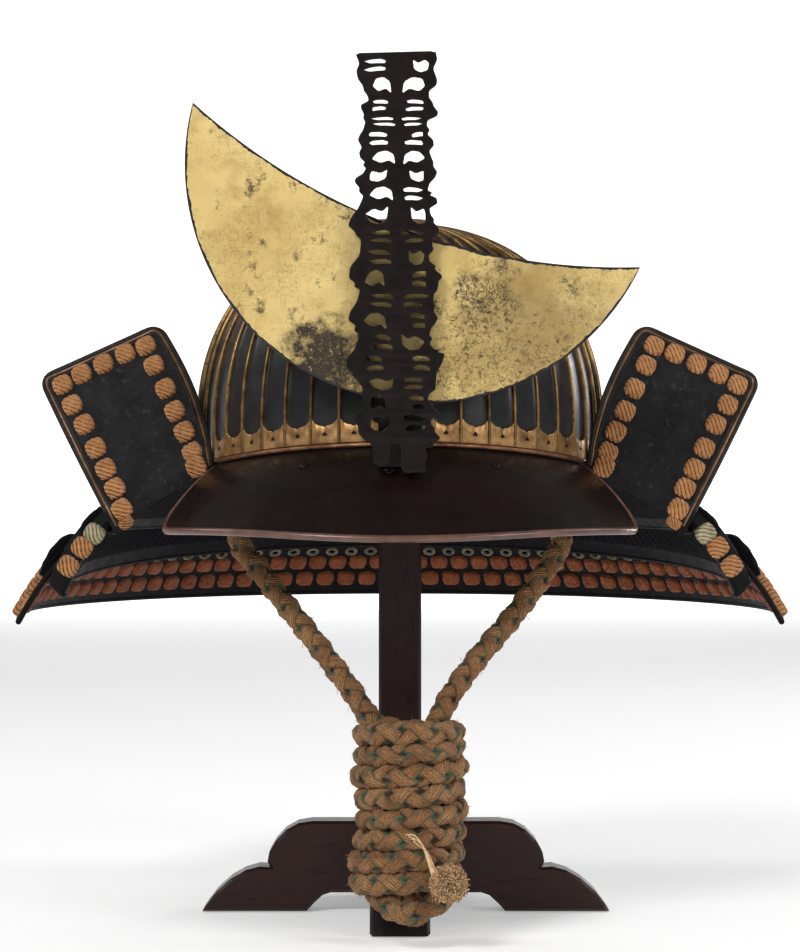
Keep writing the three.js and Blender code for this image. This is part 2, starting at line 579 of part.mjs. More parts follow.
// The chin cord: two legs, the hidden stretch round the back, the wound bundle and its brush end.
const cordSteps = Array.from({ length: 25 }, (_, i) => {
  const end = rad(51);
  const a = lerp(end, 2 * Math.PI - end, i / 24);
  return [-BACK_HALF_WIDTH * Math.sin(a), -BACK_HALF_LENGTH * Math.cos(a), BACK_Z];
});
addCord('chin_cord_left', LEFT_LEG, CORD_D);
addCord('chin_cord_right', RIGHT_LEG, CORD_D);
addCord('chin_cord_back', cordSteps, CORD_D);
{
  const { x, y, halfWidth, halfDepth, bottom, top } = BUNDLE;
  const rings = [];
  const start = bottom + 20;
  rings.push([bottom, 0.34, 0.4], [bottom + 7, 0.62, 0.62], [start - 4, 0.86, 0.86]);
  for (let k = 0; k < TURNS; k++) {
    const z0 = lerp(start, top, k / TURNS);
    const pitch = (top - start) / TURNS;
    rings.push([z0, 0.9, 0.9], [z0 + pitch * 0.5, 1, 1]);
  }
  rings.push([top, 0.86, 0.86]);
  addLoft('cord_bundle', 'cord', rings.map(([z, a, b]) => Array.from({ length: 16 }, (_, i) => {
    const t = (2 * Math.PI * i) / 16;
    const lean = z > start - 5 && z < top - 1 ? 0.07 * halfWidth * Math.cos(t) : 0;
    return [x + halfWidth * a * Math.cos(t), y + halfDepth * b * Math.sin(t), z + lean];
  })));
  // The brush end's sections from its neck to its front: share of its depth and radius, and a shift to the side.
  const sections = [[0, 0.42, 1.8], [0.27, 0.57, 1], [0.5, 0.76, 0.4], [0.83, 1, 0], [1, 0.92, 0]];
  addLoft('cord_brush_end', 'brush', sections.map(([t, share, shift]) => (
    circle([BRUSH.x + shift, lerp(BRUSH.back, BRUSH.front, t), BRUSH.z], (BRUSH_D / 2) * share, 16,
      [1, 0, 0], [0, 0, 1]))));
}

// Two plain rings inside the helmet that the cord runs through.
for (const side of [-1, 1]) {
  const r = CORD_D / 2 + CORD_GAP + RING_WIRE / 2;
  const c = [side * LEG_RING[0], LEG_RING[1], LEG_RING[2]];
  const rings = Array.from({ length: 16 }, (_, i) => {
    const t = (2 * Math.PI * i) / 16;
    const out = [Math.cos(t), Math.sin(t), 0];
    return circle(c.map((v, k) => v + r * out[k]), RING_WIRE / 2, 5, out, [0, 0, 1]);
  });
  addLoft(side < 0 ? 'cord_ring_left' : 'cord_ring_right', 'iron', rings, true);
}

// The stand: two crossed feet, the post and the rest that fits the crown from inside.
/** Right half of a foot's cloud outline, from the top to the underside: shares of FOOT_HALF and FOOT_HEIGHT. */
const FOOT_OUTLINE = [[0.461, 1], [0.53, 0.975], [0.59, 0.9], [0.64, 0.78], [0.672, 0.65], [0.68, 0.55],
  [0.665, 0.485], [0.72, 0.495], [0.79, 0.45], [0.86, 0.36], [0.93, 0.22], [0.98, 0.07], [1, 0], [0.488, 0],
  [0.45, 0.45 * ARCH_HEIGHT / FOOT_HEIGHT], [0.41, 0.85 * ARCH_HEIGHT / FOOT_HEIGHT], [0.37, ARCH_HEIGHT / FOOT_HEIGHT]];
function footOutline(notchHalf, notchZ, fromTop) {
  const side = FOOT_OUTLINE.map(([x, z]) => [x * FOOT_HALF, z * FOOT_HEIGHT]);
  const notch = fromTop ? [[notchHalf, notchZ], [notchHalf, FOOT_HEIGHT]] : [];
  const under = fromTop ? [] : [[notchHalf, ARCH_HEIGHT], [notchHalf, notchZ]];
  const right = [...notch, ...side, ...under];
  return [...right, ...right.map(([x, z]) => [-x, z]).reverse()];
}
const LAP_Z = FOOT_HEIGHT / 2;
const lapHalf = FRONT_FOOT_WALL / 2 + GAP;
const sideFoot = footOutline(lapHalf, LAP_Z + GAP, false)
  .map(([x, z]) => [Math.abs(x) > lapHalf ? x + FOOT_SHIFT : x, z]);
addPlate('stand_side_foot', 'wood', sideFoot, [], -SIDE_FOOT_WALL / 2, SIDE_FOOT_WALL / 2, FOOT_BEVEL);
addPlate('stand_front_foot', 'darkWood', footOutline(SIDE_FOOT_WALL / 2 + GAP, LAP_Z, true), [],
  -FRONT_FOOT_WALL / 2, FRONT_FOOT_WALL / 2, FOOT_BEVEL, ([x, y, z]) => [y, -x, z]);
{
  const [h, b] = [POST / 2, POST / 2 - POST_BEVEL];
  const corner = [[h, -b], [h, b], [b, h], [-b, h], [-h, b], [-h, -b], [-b, -h], [b, -h]];
  const [low, high] = LINING.slice(-2);
  const top = [0, 0.35, 0.7].map((t) => [lerp(low[0], high[0], t), lerp(low[1], high[1], t) - GAP]);
  const restZ = top[0][1] - REST_HEIGHT;
  addLoft('stand_post', 'wood', [FOOT_HEIGHT + GAP, restZ - GAP].map((z) => corner.map(([x, y]) => [x, y, z])));
  const rows = [[0.2, restZ], [top[0][0] - 0.01, top[0][1] - REST_HEIGHT / 3], ...top];
  addLoft('stand_rest', 'wood', rows.map(([share, z]) => Array.from({ length: 24 }, (_, i) => (
    onBowl((2 * Math.PI * i) / 24, share, z, -BOWL_WALL - GAP)))));
}

// The floor plan's middle goes to x = 0, y = 0.
const middle = new THREE.Box3().setFromObject(model).getCenter(new THREE.Vector3());
for (const mesh of model.children) mesh.geometry.translate(0, -middle.y, 0);

export default model;
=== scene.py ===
import math
import random

import bmesh
import bpy
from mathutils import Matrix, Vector


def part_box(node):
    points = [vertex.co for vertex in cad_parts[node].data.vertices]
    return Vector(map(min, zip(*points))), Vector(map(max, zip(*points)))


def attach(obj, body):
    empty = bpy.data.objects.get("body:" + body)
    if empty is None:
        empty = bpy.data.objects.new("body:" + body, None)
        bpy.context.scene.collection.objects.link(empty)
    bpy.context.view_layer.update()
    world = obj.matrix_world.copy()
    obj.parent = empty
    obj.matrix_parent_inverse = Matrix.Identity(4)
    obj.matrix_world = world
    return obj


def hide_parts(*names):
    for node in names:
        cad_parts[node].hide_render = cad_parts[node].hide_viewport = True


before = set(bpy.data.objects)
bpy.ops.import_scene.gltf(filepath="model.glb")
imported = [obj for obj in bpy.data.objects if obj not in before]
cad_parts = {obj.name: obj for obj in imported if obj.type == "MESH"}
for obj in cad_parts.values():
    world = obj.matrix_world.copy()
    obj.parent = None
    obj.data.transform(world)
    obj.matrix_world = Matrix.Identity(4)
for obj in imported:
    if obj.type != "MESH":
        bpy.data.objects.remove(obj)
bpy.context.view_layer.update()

LOW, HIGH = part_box("stand_post")
POST_Y = (LOW.y + HIGH.y) / 2
TAU = 2 * math.pi
rng = random.Random(7)


def place(p):
    """A point given in millimetres from the post's axis, in the row frame in metres."""
    return (p[0] * 0.001, p[1] * 0.001 + POST_Y, p[2] * 0.001)


def lerp(a, b, t):
    return a + (b - a) * t


def mix(p, q, t):
    return [lerp(a, b, t) for a, b in zip(p, q)]


rad = math.radians


def circle(n):
    """The cosine and sine of n directions all round."""
    return [(math.cos(TAU * k / n), math.sin(TAU * k / n)) for k in range(n)]


def flipped(p, flip):
    """The point or direction, or with flip -1 its mirror image on the other side."""
    return Vector((p[0] * flip, p[1], p[2]))


# The camera's distance from the post's axis and its height, in mm, and its lens in the photograph's pixels
CAMERA_AWAY, CAMERA_Z, FOCAL_PX = 1800, 235, 3312
CENTRE_PX, LENS, SENSOR = (400, 476), 125.24, 36

camera = bpy.data.objects.new("camera", bpy.data.cameras.new("camera"))
bpy.context.collection.objects.link(camera)
camera.location = (0, POST_Y - CAMERA_AWAY * 0.001, CAMERA_Z * 0.001)
camera.rotation_euler = (math.pi / 2, 0, 0)
camera.data.lens = LENS
camera.data.sensor_width = SENSOR
bpy.context.scene.camera = camera
bpy.context.scene.view_settings.view_transform = "Standard"


# Materials
class Look:
    """A material's nodes, with short ways to add noise, ramps and bumps in object coordinates."""

    def __init__(self, name):
        self.material = bpy.data.materials.new(name)
        self.material.use_nodes = True
        self.tree = self.material.node_tree
        self.shader = self.tree.nodes["Principled BSDF"]
        self.coords = self.tree.nodes.new("ShaderNodeTexCoord").outputs["Object"]

    def give(self, socket, value):
        """Link another node's output, or set a constant; a colour is one grey or red, green and blue."""
        if isinstance(value, bpy.types.NodeSocket):
            self.tree.links.new(value, socket)
        elif socket.type == "RGBA":
            socket.default_value = (*value, 1) if isinstance(value, tuple) else (value, value, value, 1)
        else:
            socket.default_value = value

    def node(self, kind, values, operation=None):
        made = self.tree.nodes.new("ShaderNode" + kind)
        if operation:
            made.operation = operation
        for key, value in values.items():
            self.give(made.inputs[key], value)
        return made

    def stretched(self, scale):
        return self.node("Mapping", {"Scale": scale, "Vector": self.coords}).outputs[0]

    def noise(self, scale, detail=4, rough=0.55, coords=None, distortion=0):
        values = {"Scale": scale, "Detail": detail, "Roughness": rough, "Distortion": distortion}
        return self.node("TexNoise", {**values, "Vector": coords or self.coords}).outputs["Fac"]

    def wave(self, scale, direction, distortion, coords=None):
        values = {"Scale": scale, "Distortion": distortion}
        made = self.node("TexWave", {**values, "Vector": coords or self.coords})
        made.bands_direction = direction
        return made.outputs["Fac"]

    def ramp(self, fac, stops):
        node = self.tree.nodes.new("ShaderNodeValToRGB")
        ends = node.color_ramp.elements
        while len(ends) < len(stops):
            ends.new(0.5)
        for end, (at, color) in zip(ends, stops):
            end.position = at
            end.color = (*color, 1) if isinstance(color, tuple) else (color, color, color, 1)
        self.give(node.inputs["Fac"], fac)
        return node.outputs["Color"]

    def fade(self, fac, low, high, top=1.0):
        """Nothing up to low, rising to top at high."""
        return self.ramp(fac, [(low, 0.0), (high, top)])

    def blend(self, fac, a, b):
        made = self.tree.nodes.new("ShaderNodeMix")
        made.data_type = "RGBA"
        for socket, value in zip((made.inputs[0], made.inputs[6], made.inputs[7]), (fac, a, b)):
            self.give(socket, value)
        return made.outputs[2]

    def marked(self, name):
        made = self.node("Attribute", {})
        made.attribute_name = name
        return made.outputs["Fac"]

    def sum(self, a, b):
        return self.node("Math", {0: a, 1: b}, "ADD").outputs[0]

    def bump(self, height, distance, strength=1.0, below=None):
        values = {"Distance": distance * 0.001, "Strength": strength, "Height": height}
        return self.node("Bump", values if below is None else {**values, "Normal": below}).outputs["Normal"]

    def done(self, color, rough, normal=None, metal=None, **constants):
        """The material; other shader inputs follow by name, with _ for a space."""
        values = {"Base Color": color, "Roughness": rough, "Normal": normal, "Metallic": metal, **constants}
        for key, value in values.items():
            if value is not None:
                self.give(self.shader.inputs[key.replace("_", " ")], value)
        return self.material


def srgb(r, g, b):
    """A colour as seen in the photograph, as the shader's linear values."""
    return tuple(((c / 255 + 0.055) / 1.055) ** 2.4 if c > 10 else c / 255 / 12.92 for c in (r, g, b))


def dimmed(values, share):
    return tuple(v * share for v in values)


def worn(name, dark, light, patch, metal, rough, coat=0.0, grain=0.05, patch_at=0.62, scale=90, shine=0.5):
    """A finish that wanders between two tones, with small patches of a third where it has worn."""
    look = Look(name)
    tone = look.ramp(look.noise(scale, 6, 0.6), [(0.35, srgb(*dark)), (0.68, srgb(*light))])
    spots = look.fade(look.noise(scale * 4, 8, 0.7), patch_at, patch_at + 0.08)
    color = look.blend(spots, tone, srgb(*patch))
    smooth, dull = max(rough - 0.1, 0.05), rough + 0.12
    roughness = look.ramp(look.noise(scale * 2.2, 5, 0.65), [(0.3, smooth), (0.75, dull)])
    normal = look.bump(look.noise(scale * 7, 6, 0.7), grain)
    return look.done(color, roughness, normal, metal, Coat_Weight=coat, Coat_Roughness=0.12,
                     Specular_IOR_Level=shine)


# Each: darker tone, lighter tone, worn patches, then metal, roughness, coat, grain depth in mm,
# threshold of the patches, scale and shine
PLATE = worn("black_plate", (21, 20, 21), (38, 36, 37), (62, 50, 40), 0.05, 0.34, 0.08, 0.04, 0.64, 60, 0.3)
LINING = worn("lining", (26, 20, 18), (42, 33, 29), (70, 54, 42), 0.0, 0.6, 0.0, 0.06, 0.64, 70, 0.3)
RIB = worn("gilt_rib", (84, 62, 34), (160, 126, 76), (44, 34, 26), 0.75, 0.34, 0.0, 0.03, 0.56, 120)
BAND = worn("gilt_band", (118, 86, 50), (184, 142, 90), (58, 42, 30), 0.7, 0.38, 0.0, 0.05, 0.58, 130)
BEAD = worn("copper_bead", (94, 60, 42), (150, 104, 74), (54, 38, 30), 0.75, 0.38, 0.0, 0.03, 0.58, 150)
# Near-black of the band's heart-shaped holes: the black plate seen through them, darkened further as painted
# shade
HOLE_PLATE_AND_SHADE = worn("hole", (12, 10, 10), (18, 15, 15), (26, 22, 20), 0.0, 0.8, 0.0, 0.02, 0.7, 200, 0.2)
LACQUER = worn("brown_lacquer", (17, 9, 9), (25, 14, 13), (38, 23, 20), 0.0, 0.32, 0.05, 0.02, 0.66, 45, 0.12)
VISOR_RIM = worn("red_brown_rim", (74, 46, 38), (108, 72, 60), (52, 32, 27), 0.0, 0.34, 0.2, 0.03, 0.58, 90)
BLACK = worn("black_lacquer", (14, 13, 14), (23, 21, 22), (52, 42, 35), 0.0, 0.54, 0.0, 0.05, 0.62, 60, 0.08)
LEATHER = worn("worn_leather", (19, 19, 20), (31, 31, 33), (50, 50, 52), 0.0, 0.62, 0.0, 0.14, 0.58, 75, 0.1)
EAR_RIM_LOOK = worn("ear_rim", (70, 50, 34), (124, 92, 60), (36, 28, 24), 0.4, 0.4, 0.0, 0.05, 0.54, 110)
EAR_EDGE = worn("ear_edge", (26, 21, 19), (44, 36, 31), (86, 66, 46), 0.0, 0.5, 0.0, 0.05, 0.6, 110, 0.15)
IRON = worn("dark_iron", (24, 22, 21), (42, 38, 35), (80, 58, 42), 0.6, 0.48, 0.0, 0.06, 0.64, 140)
CREST = worn("crest_lacquer", (14, 9, 9), (25, 16, 15), (46, 35, 33), 0.0, 0.36, 0.06, 0.03, 0.66, 80, 0.14)
EDGE = worn("crescent_edge", (18, 15, 13), (34, 28, 24), (104, 82, 48), 0.0, 0.42, 0.1, 0.05, 0.64, 160, 0.35)


def braid(name, dark, light, across=700, depth=0.35, rough=0.75, sheen=0.2, shine=0.2):
    """Silk braid: fine slanting yarns with some uneven fading, and painted shade in the grooves between the
    yarns.
    """
    look = Look(name)
    yarn = look.wave(across, "DIAGONAL", 1.2)
    tone = look.blend(look.fade(look.noise(160, 5, 0.6), 0.3, 0.7), srgb(*dark), srgb(*light))
    # Darker where the yarn pattern sinks into its grooves: painted shade
    color = look.blend(look.ramp(yarn, [(0.15, 0.35), (0.6, 1.0)]), dimmed(srgb(*dark), 0.45), tone)
    normal = look.bump(yarn, depth, 0.8, look.bump(look.noise(1500, 4, 0.7), 0.08))
    return look.done(color, rough, normal, Sheen_Weight=sheen, Sheen_Roughness=0.4, Specular_IOR_Level=shine)


TAN = braid("tan_braid", (176, 114, 60), (214, 154, 96))
# Dark tan for the grooves of the braid blocks: painted shade
TAN_GROOVE_SHADE = braid("tan_braid_groove_shade", (70, 42, 24), (104, 66, 38))
RUST = braid("rust_braid", (118, 58, 28), (166, 90, 48))
# Grey of the small loops inside, and painted shade in the grooves of the beige knots
LOOP_AND_GROOVE_SHADE = braid("grey_loop_and_groove_shade", (96, 88, 72), (156, 146, 122), 900)
KNOT = braid("beige_knot", (166, 150, 108), (224, 210, 170), 900)
NAVY = braid("navy_lacing", (12, 12, 15), (22, 22, 27), 800, 0.3, 0.7, 0.0, 0.05)


def spot(look, centre, radius):
    """Half at centre, given in millimetres from the post's axis, falling to nothing at radius."""
    offset = look.node("VectorMath", {0: look.coords, 1: place(centre)}, "SUBTRACT")
    length = look.node("VectorMath", {0: offset.outputs[0]}, "LENGTH")
    near = {"From Min": 0.0, "From Max": radius * 0.001, "To Min": 0.5, "To Max": 0.0}
    return look.node("MapRange", {**near, "Value": length.outputs["Value"]}).outputs[0]


# Where the crescent's leaf has rubbed through: centre, radius, threshold of the wear and its strength
RUBBED = (((-37, -141, 295), 31, 0.41, 1.0), ((-24, -141, 283), 17, 0.47, 0.9),
          ((42, -141, 326), 24, 0.48, 0.95), ((88, -141, 318), 27, 0.52, 0.6),
          ((45, -141, 288), 50, 0.515, 0.9), ((22, -141, 304), 36, 0.525, 0.85),
          ((-46, -141, 337), 24, 0.56, 0.6))
DULLED_AT, DULLED_R = (70, -141, 304), 64


def leaf_look():
    """Gold leaf on lacquer: mottled, rubbed through to black in patches, with fine cracks and scratches."""
    look = Look("gold_leaf")
    tone = look.ramp(look.noise(20, 6, 0.6),
                     [(0.3, srgb(184, 155, 90)), (0.5, srgb(209, 182, 114)), (0.7, srgb(221, 196, 132))])
    color = look.blend(look.fade(look.noise(55, 8, 0.7), 0.5, 0.7, 0.55), tone, srgb(152, 120, 66))
    color = look.blend(look.fade(look.noise(420, 10, 0.85), 0.59, 0.64, 0.85), color, srgb(104, 80, 44))
    dulled = look.sum(spot(look, DULLED_AT, DULLED_R), look.noise(26, 6, 0.7))
    color = look.blend(look.fade(dulled, 0.58, 0.95, 0.62), color, srgb(128, 102, 58))
    fine, drift = look.noise(340, 12, 0.9, None, 1.2), look.noise(70, 6, 0.7)
    for centre, radius, wear, shade in RUBBED:
        near = look.fade(look.sum(spot(look, centre, radius), drift), 0.6, 0.76)
        rubbed = look.blend(near, 0.0, look.fade(fine, wear, wear + 0.035, shade))
        color = look.blend(rubbed, color, srgb(44, 34, 22))
    for stretch, turn in (((9, 1, 1), 2.2), ((1, 1, 9), 2.6), ((4, 1, 3), 1.5)):
        lines = look.ramp(look.noise(30, 5, 0.55, look.stretched(stretch), turn),
                          [(0.492, 0.0), (0.5, 0.7), (0.508, 0.0)])
        scratched = look.blend(look.fade(look.noise(34, 3), 0.45, 0.6), 0.0, lines)
        color = look.blend(scratched, color, srgb(92, 68, 36))
    rough = look.ramp(look.noise(70, 6, 0.65), [(0.3, 0.34), (0.7, 0.55)])
    return look.done(color, rough, look.bump(look.noise(90, 8, 0.7), 0.12), 0.3)


def wood_look(name, dark, light, stretch, gloss=0.35):
    """Polished wood: long streaks of grain with fine pores."""
    look, dark, light = Look(name), srgb(*dark), srgb(*light)
    streaks = look.noise(30, 8, 0.62, look.stretched(stretch), 0.8)
    color = look.ramp(streaks, [(0.3, dark), (0.52, light), (0.7, dimmed(dark, 0.7))])
    pores = look.noise(160, 4, 0.7, look.stretched(dimmed(stretch, 1.6)))
    color = look.blend(look.fade(pores, 0.56, 0.66, 0.6), color, dimmed(dark, 0.4))
    rough = look.ramp(streaks, [(0.3, gloss - 0.08), (0.7, gloss + 0.14)])
    normal = look.bump(pores, 0.08, 0.6)
    return look.done(color, rough, normal, Coat_Weight=0.06, Coat_Roughness=0.2, Specular_IOR_Level=0.2)


LEAF = leaf_look()
WOOD_X = wood_look("rosewood_side", (24, 12, 11), (44, 22, 19), (1.2, 14, 14))
WOOD_Z = wood_look("rosewood_post", (23, 12, 12), (42, 21, 19), (14, 14, 1.2))
DARK_WOOD = wood_look("dark_wood", (20, 18, 18), (34, 30, 29), (14, 1.2, 14), 0.38)


# Shapes
def frames_along(path, closed=False):
    """Each point of a path with two directions across it, which don't twist from point to point."""
    pts = [Vector(p) for p in path]
    n, e, frames = len(pts), None, []
    for i, p in enumerate(pts):
        t = (pts[(i + 1) % n] - pts[i - 1]) if closed else (pts[min(i + 1, n - 1)] - pts[max(i - 1, 0)])
        t.normalize()
        e = t.orthogonal() if e is None else e
        e = (e - t * e.dot(t)).normalized()
        frames.append((p, e, t.cross(e)))
    return frames


class Shape:
    """Points, faces and looks of one piece, in millimetres from the post's axis."""

    def __init__(self):
        self.points, self.faces, self.looks, self.marks = [], [], [], []

    def grid(self, rows, around=False, along=False, look=0, caps=None):
        """Faces between rows of points, closed around and along where asked; caps is the look of the ends."""
        start, n, m = len(self.points), len(rows[0]), len(rows)
        for row in rows:
            self.points.extend(row)
        for j in range(m if along else m - 1):
            for i in range(n if around else n - 1):
                i1, j1 = (i + 1) % n, (j + 1) % m
                self.faces.append(tuple(start + v * n + u for u, v in ((i, j), (i1, j), (i1, j1), (i, j1))))
                self.looks.append(look(i, j) if callable(look) else look)
        if caps is not None:
            self.face(range(start, start + n), caps)
            self.face(range(start + (m - 1) * n, start + m * n), caps)
        return start

    def face(self, ids, look=0):
        self.faces.append(tuple(ids))
        self.looks.append(look)

    def join(self, a, b, n):
        """Faces between two rings of n points that start at a and b."""
        for k in range(n):
            k1 = (k + 1) % n
            self.face((a + k, a + k1, b + k1, b + k))

    def tube(self, path, radius, sides=8, closed=False, look=0, wave=None):
        """A tube along a path; radius may run from 0 to 1 along it, and wave shapes it round each ring."""
        frames, rings = frames_along(path, closed), []
        for i, (p, e, f) in enumerate(frames):
            r = radius(i / (len(frames) - 1)) if callable(radius) else radius
            ring = []
            for k in range(sides):
                a = TAU * k / sides
                ring.append(p + (e * math.cos(a) + f * math.sin(a)) * (r * (wave(a, i) if wave else 1)))
            rings.append(ring)
        self.grid(rings, True, closed, look, None if closed else look)

    def sheet(self, rows, thick, look=0):
        """A closed sheet of that thickness round rows of points."""
        m, n = len(rows), len(rows[0])
        v = [[Vector(p) for p in row] for row in rows]
        front, back = [[] for _ in range(m)], [[] for _ in range(m)]
        for i in range(m):
            for j in range(n):
                along = v[min(i + 1, m - 1)][j] - v[max(i - 1, 0)][j]
                across = v[i][min(j + 1, n - 1)] - v[i][max(j - 1, 0)]
                half = along.cross(across).normalized() * (thick / 2)
                front[i].append(v[i][j] + half)
                back[i].append(v[i][j] - half)
        a, b = self.grid(front, look=look), self.grid(back, look=look)
        border = [j for j in range(n - 1)] + [i * n + n - 1 for i in range(m - 1)]
        border += [(m - 1) * n + j for j in range(n - 1, 0, -1)] + [i * n for i in range(m - 1, 0, -1)]
        for k, p in enumerate(border):
            q = border[(k + 1) % len(border)]
            self.face((a + p, a + q, b + q, b + p))

    def block(self, c, ex, ey, normal, w, h, height, n, lines, lean=1, rounding=0.7, shaded_grooves=False):
        """A low cushion of braid on a surface: rounded outline, slanting lines between its yarns; where
        asked, the grooves take the second, darker look as painted shade.
        """
        rows, cut = [], []
        for j in range(n):
            row = []
            for i in range(n):
                u, v = -1 + 2 * i / (n - 1), -1 + 2 * j / (n - 1)
                phase = (u + lean * v) * lines / 4 + 0.07 * math.sin(3 * (u - lean * v)) + 0.25
                groove = max(0.0, 1 - abs(phase - round(phase)) * 5)
                cut.append(groove > 0.6)
                body = ((1 - abs(u) ** 6) * (1 - abs(v) ** 6)) ** 0.5 * (1 - 0.28 * groove)
                x = u * math.sqrt(1 - rounding * v * v / 2) * (1 - 0.07 * groove) * w / 2
                y = v * math.sqrt(1 - rounding * u * u / 2) * (1 - 0.07 * groove) * h / 2
                row.append(c + ex * x + ey * y + normal * (height * body))
            rows.append(row)
        self.grid(rows, look=lambda i, j: 1 if shaded_grooves and cut[j * n + i] else 0)

    def make(self, name, looks, slot, replaces=(), smooth=50):
        mesh = bpy.data.meshes.new(name)
        mesh.from_pydata([place(p) for p in self.points], [], self.faces)
        for look in looks:
            mesh.materials.append(look)
        mesh.polygons.foreach_set("material_index", self.looks)
        if self.marks:
            marks = mesh.attributes.new("yarn", "FLOAT", "POINT")
            marks.data.foreach_set("value", self.marks + [0.0] * (len(self.points) - len(self.marks)))
        return finished(mesh, name, replaces, smooth, 1e-7)


def finished(mesh, name, replaces, smooth, merge):
    """A piece of the helmet from its mesh: points merged, smooth but for edges over smooth degrees."""
    work = bmesh.new()
    work.from_mesh(mesh)
    bmesh.ops.remove_doubles(work, verts=work.verts, dist=merge)
    bmesh.ops.recalc_face_normals(work, faces=work.faces)
    for f in work.faces:
        f.smooth = True
    for e in work.edges:
        if len(e.link_faces) == 2 and e.calc_face_angle(0) > rad(smooth):
            e.smooth = False
    work.to_mesh(mesh)
    work.free()
    obj = bpy.data.objects.new(name, mesh)
    bpy.context.collection.objects.link(obj)
    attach(obj, "root")
    if replaces:
        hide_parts(*replaces)
    return obj


def smooth_path(points, step):
    """A centripetal curve through the points, with points about step apart."""
    pts = [Vector(p) for p in points]
    pts = [pts[0] * 2 - pts[1]] + pts + [pts[-1] * 2 - pts[-2]]
    fine = []
    for i in range(1, len(pts) - 2):
        p0, p1, p2, p3 = pts[i - 1:i + 3]
        t0, t1 = 0, max((p1 - p0).length, 1e-6) ** 0.5
        t2 = t1 + max((p2 - p1).length, 1e-6) ** 0.5
        t3 = t2 + max((p3 - p2).length, 1e-6) ** 0.5
        for k in range(12):
            t = lerp(t1, t2, k / 12)
            a1, a2, a3 = (p0.lerp(p1, (t - t0) / (t1 - t0)), p1.lerp(p2, (t - t1) / (t2 - t1)),
                          p2.lerp(p3, (t - t2) / (t3 - t2)))
            b1, b2 = a1.lerp(a2, (t - t0) / (t2 - t0)), a2.lerp(a3, (t - t1) / (t3 - t1))
            fine.append(b1.lerp(b2, (t - t1) / (t2 - t1)))
    fine.append(pts[-2])
    even, left = [fine[0]], step
    for a, b in zip(fine, fine[1:]):
        d = (b - a).length
        at = 0
        while d - at >= left:
            at += left
            even.append(a.lerp(b, at / d))
            left = step
        left -= d - at
    if (even[-1] - fine[-1]).length > 0.3 * step:
        even.append(fine[-1])
    return even


def length_of(path):
    return sum((b - a).length for a, b in zip(path, path[1:]))


# The chin cord
CORD_D = 12.0
BRAID_STEP, BRAID_TURN = 1.9, math.pi / 14      # mm between rings, and turn of the strands per mm
STRAND_SIDES = 24
# Shares of the cord's diameter: how far out a strand runs and sways, half its thickness and width, the core
STRAND_OUT, STRAND_SWAY, STRAND_THICK, STRAND_WIDE, CORE_R = 0.24, 0.08, 0.22, 0.3, 0.27
FIBRE_PITCH, FIBRE_R = 3, 0.13
COIL = {"x": 4.5, "y": -137.5, "r": 22.8, "top": 107.8, "pitch": 10.6, "first_drop": 6}
TURNS, PER_TURN = 9, 14
# How far each turn lies to the right, and how much its radius grows
TURN_SIDES = [(0, 0), (-0.5, -0.8), (1.5, 0.6), (-1.5, 0.8), (2.0, 0.2), (0.8, -0.6), (0, 0), (-2.6, 0.6),
              (-1, 0)]
LEFT_LEG = [[-77.5, -70, 230.1], [-80, -72.5, 219], [-84, -78, 202], [-71, -87, 184], [-56.5, -96, 166],
            [-41, -104.5, 147], [-25, -110.5, 126], [-11.5, -114.5, 108.5]]
RIGHT_LEG = [[77.5, -70, 230.1], [80, -72.5, 219], [84, -78, 202], [72.4, -88, 181.5], [56.5, -98, 161],
             [41, -108, 143.5], [28, -118, 127], [21, -125, 115.8], [17, -130, 106], [12, -134, 96],
             [8, -137, 85]]
LAST_LOOP = [[24, -148, 27], [18.5, -154.5, 22.9], [12, -158.6, 19.6], [4.5, -159.6, 17.6],
             [-2.5, -157.6, 19.4], [-8, -151.5, 22.6], [-11, -143, 25], [-11, -134, 24], [-8, -126, 23],
             [-1, -120.5, 22], [8, -120, 21], [14.5, -125, 20.5], [17.5, -133, 21], [18.5, -142, 23.5],
             [20, -150, 27.5], [23, -156.5, 31], [25, -161.5, 34]]


def coil_points():
    points = []
    for k in range(PER_TURN * (TURNS - 1) + 2):
        t = (k + 0.5) / PER_TURN
        turn, a = int(t), math.pi / 2 - TAU * t
        this, following = TURN_SIDES[turn], TURN_SIDES[min(turn + 1, TURNS - 1)]
        dx, dr = (lerp(p, q, t - turn) for p, q in zip(this, following))
        r, drop = COIL["r"] + dr, COIL["pitch"] * (t - 0.5) if t > 0.5 else COIL["first_drop"] * (0.5 - t)
        points.append([COIL["x"] + dx + r * math.cos(a), COIL["y"] + r * math.sin(a), COIL["top"] - drop])
    return points


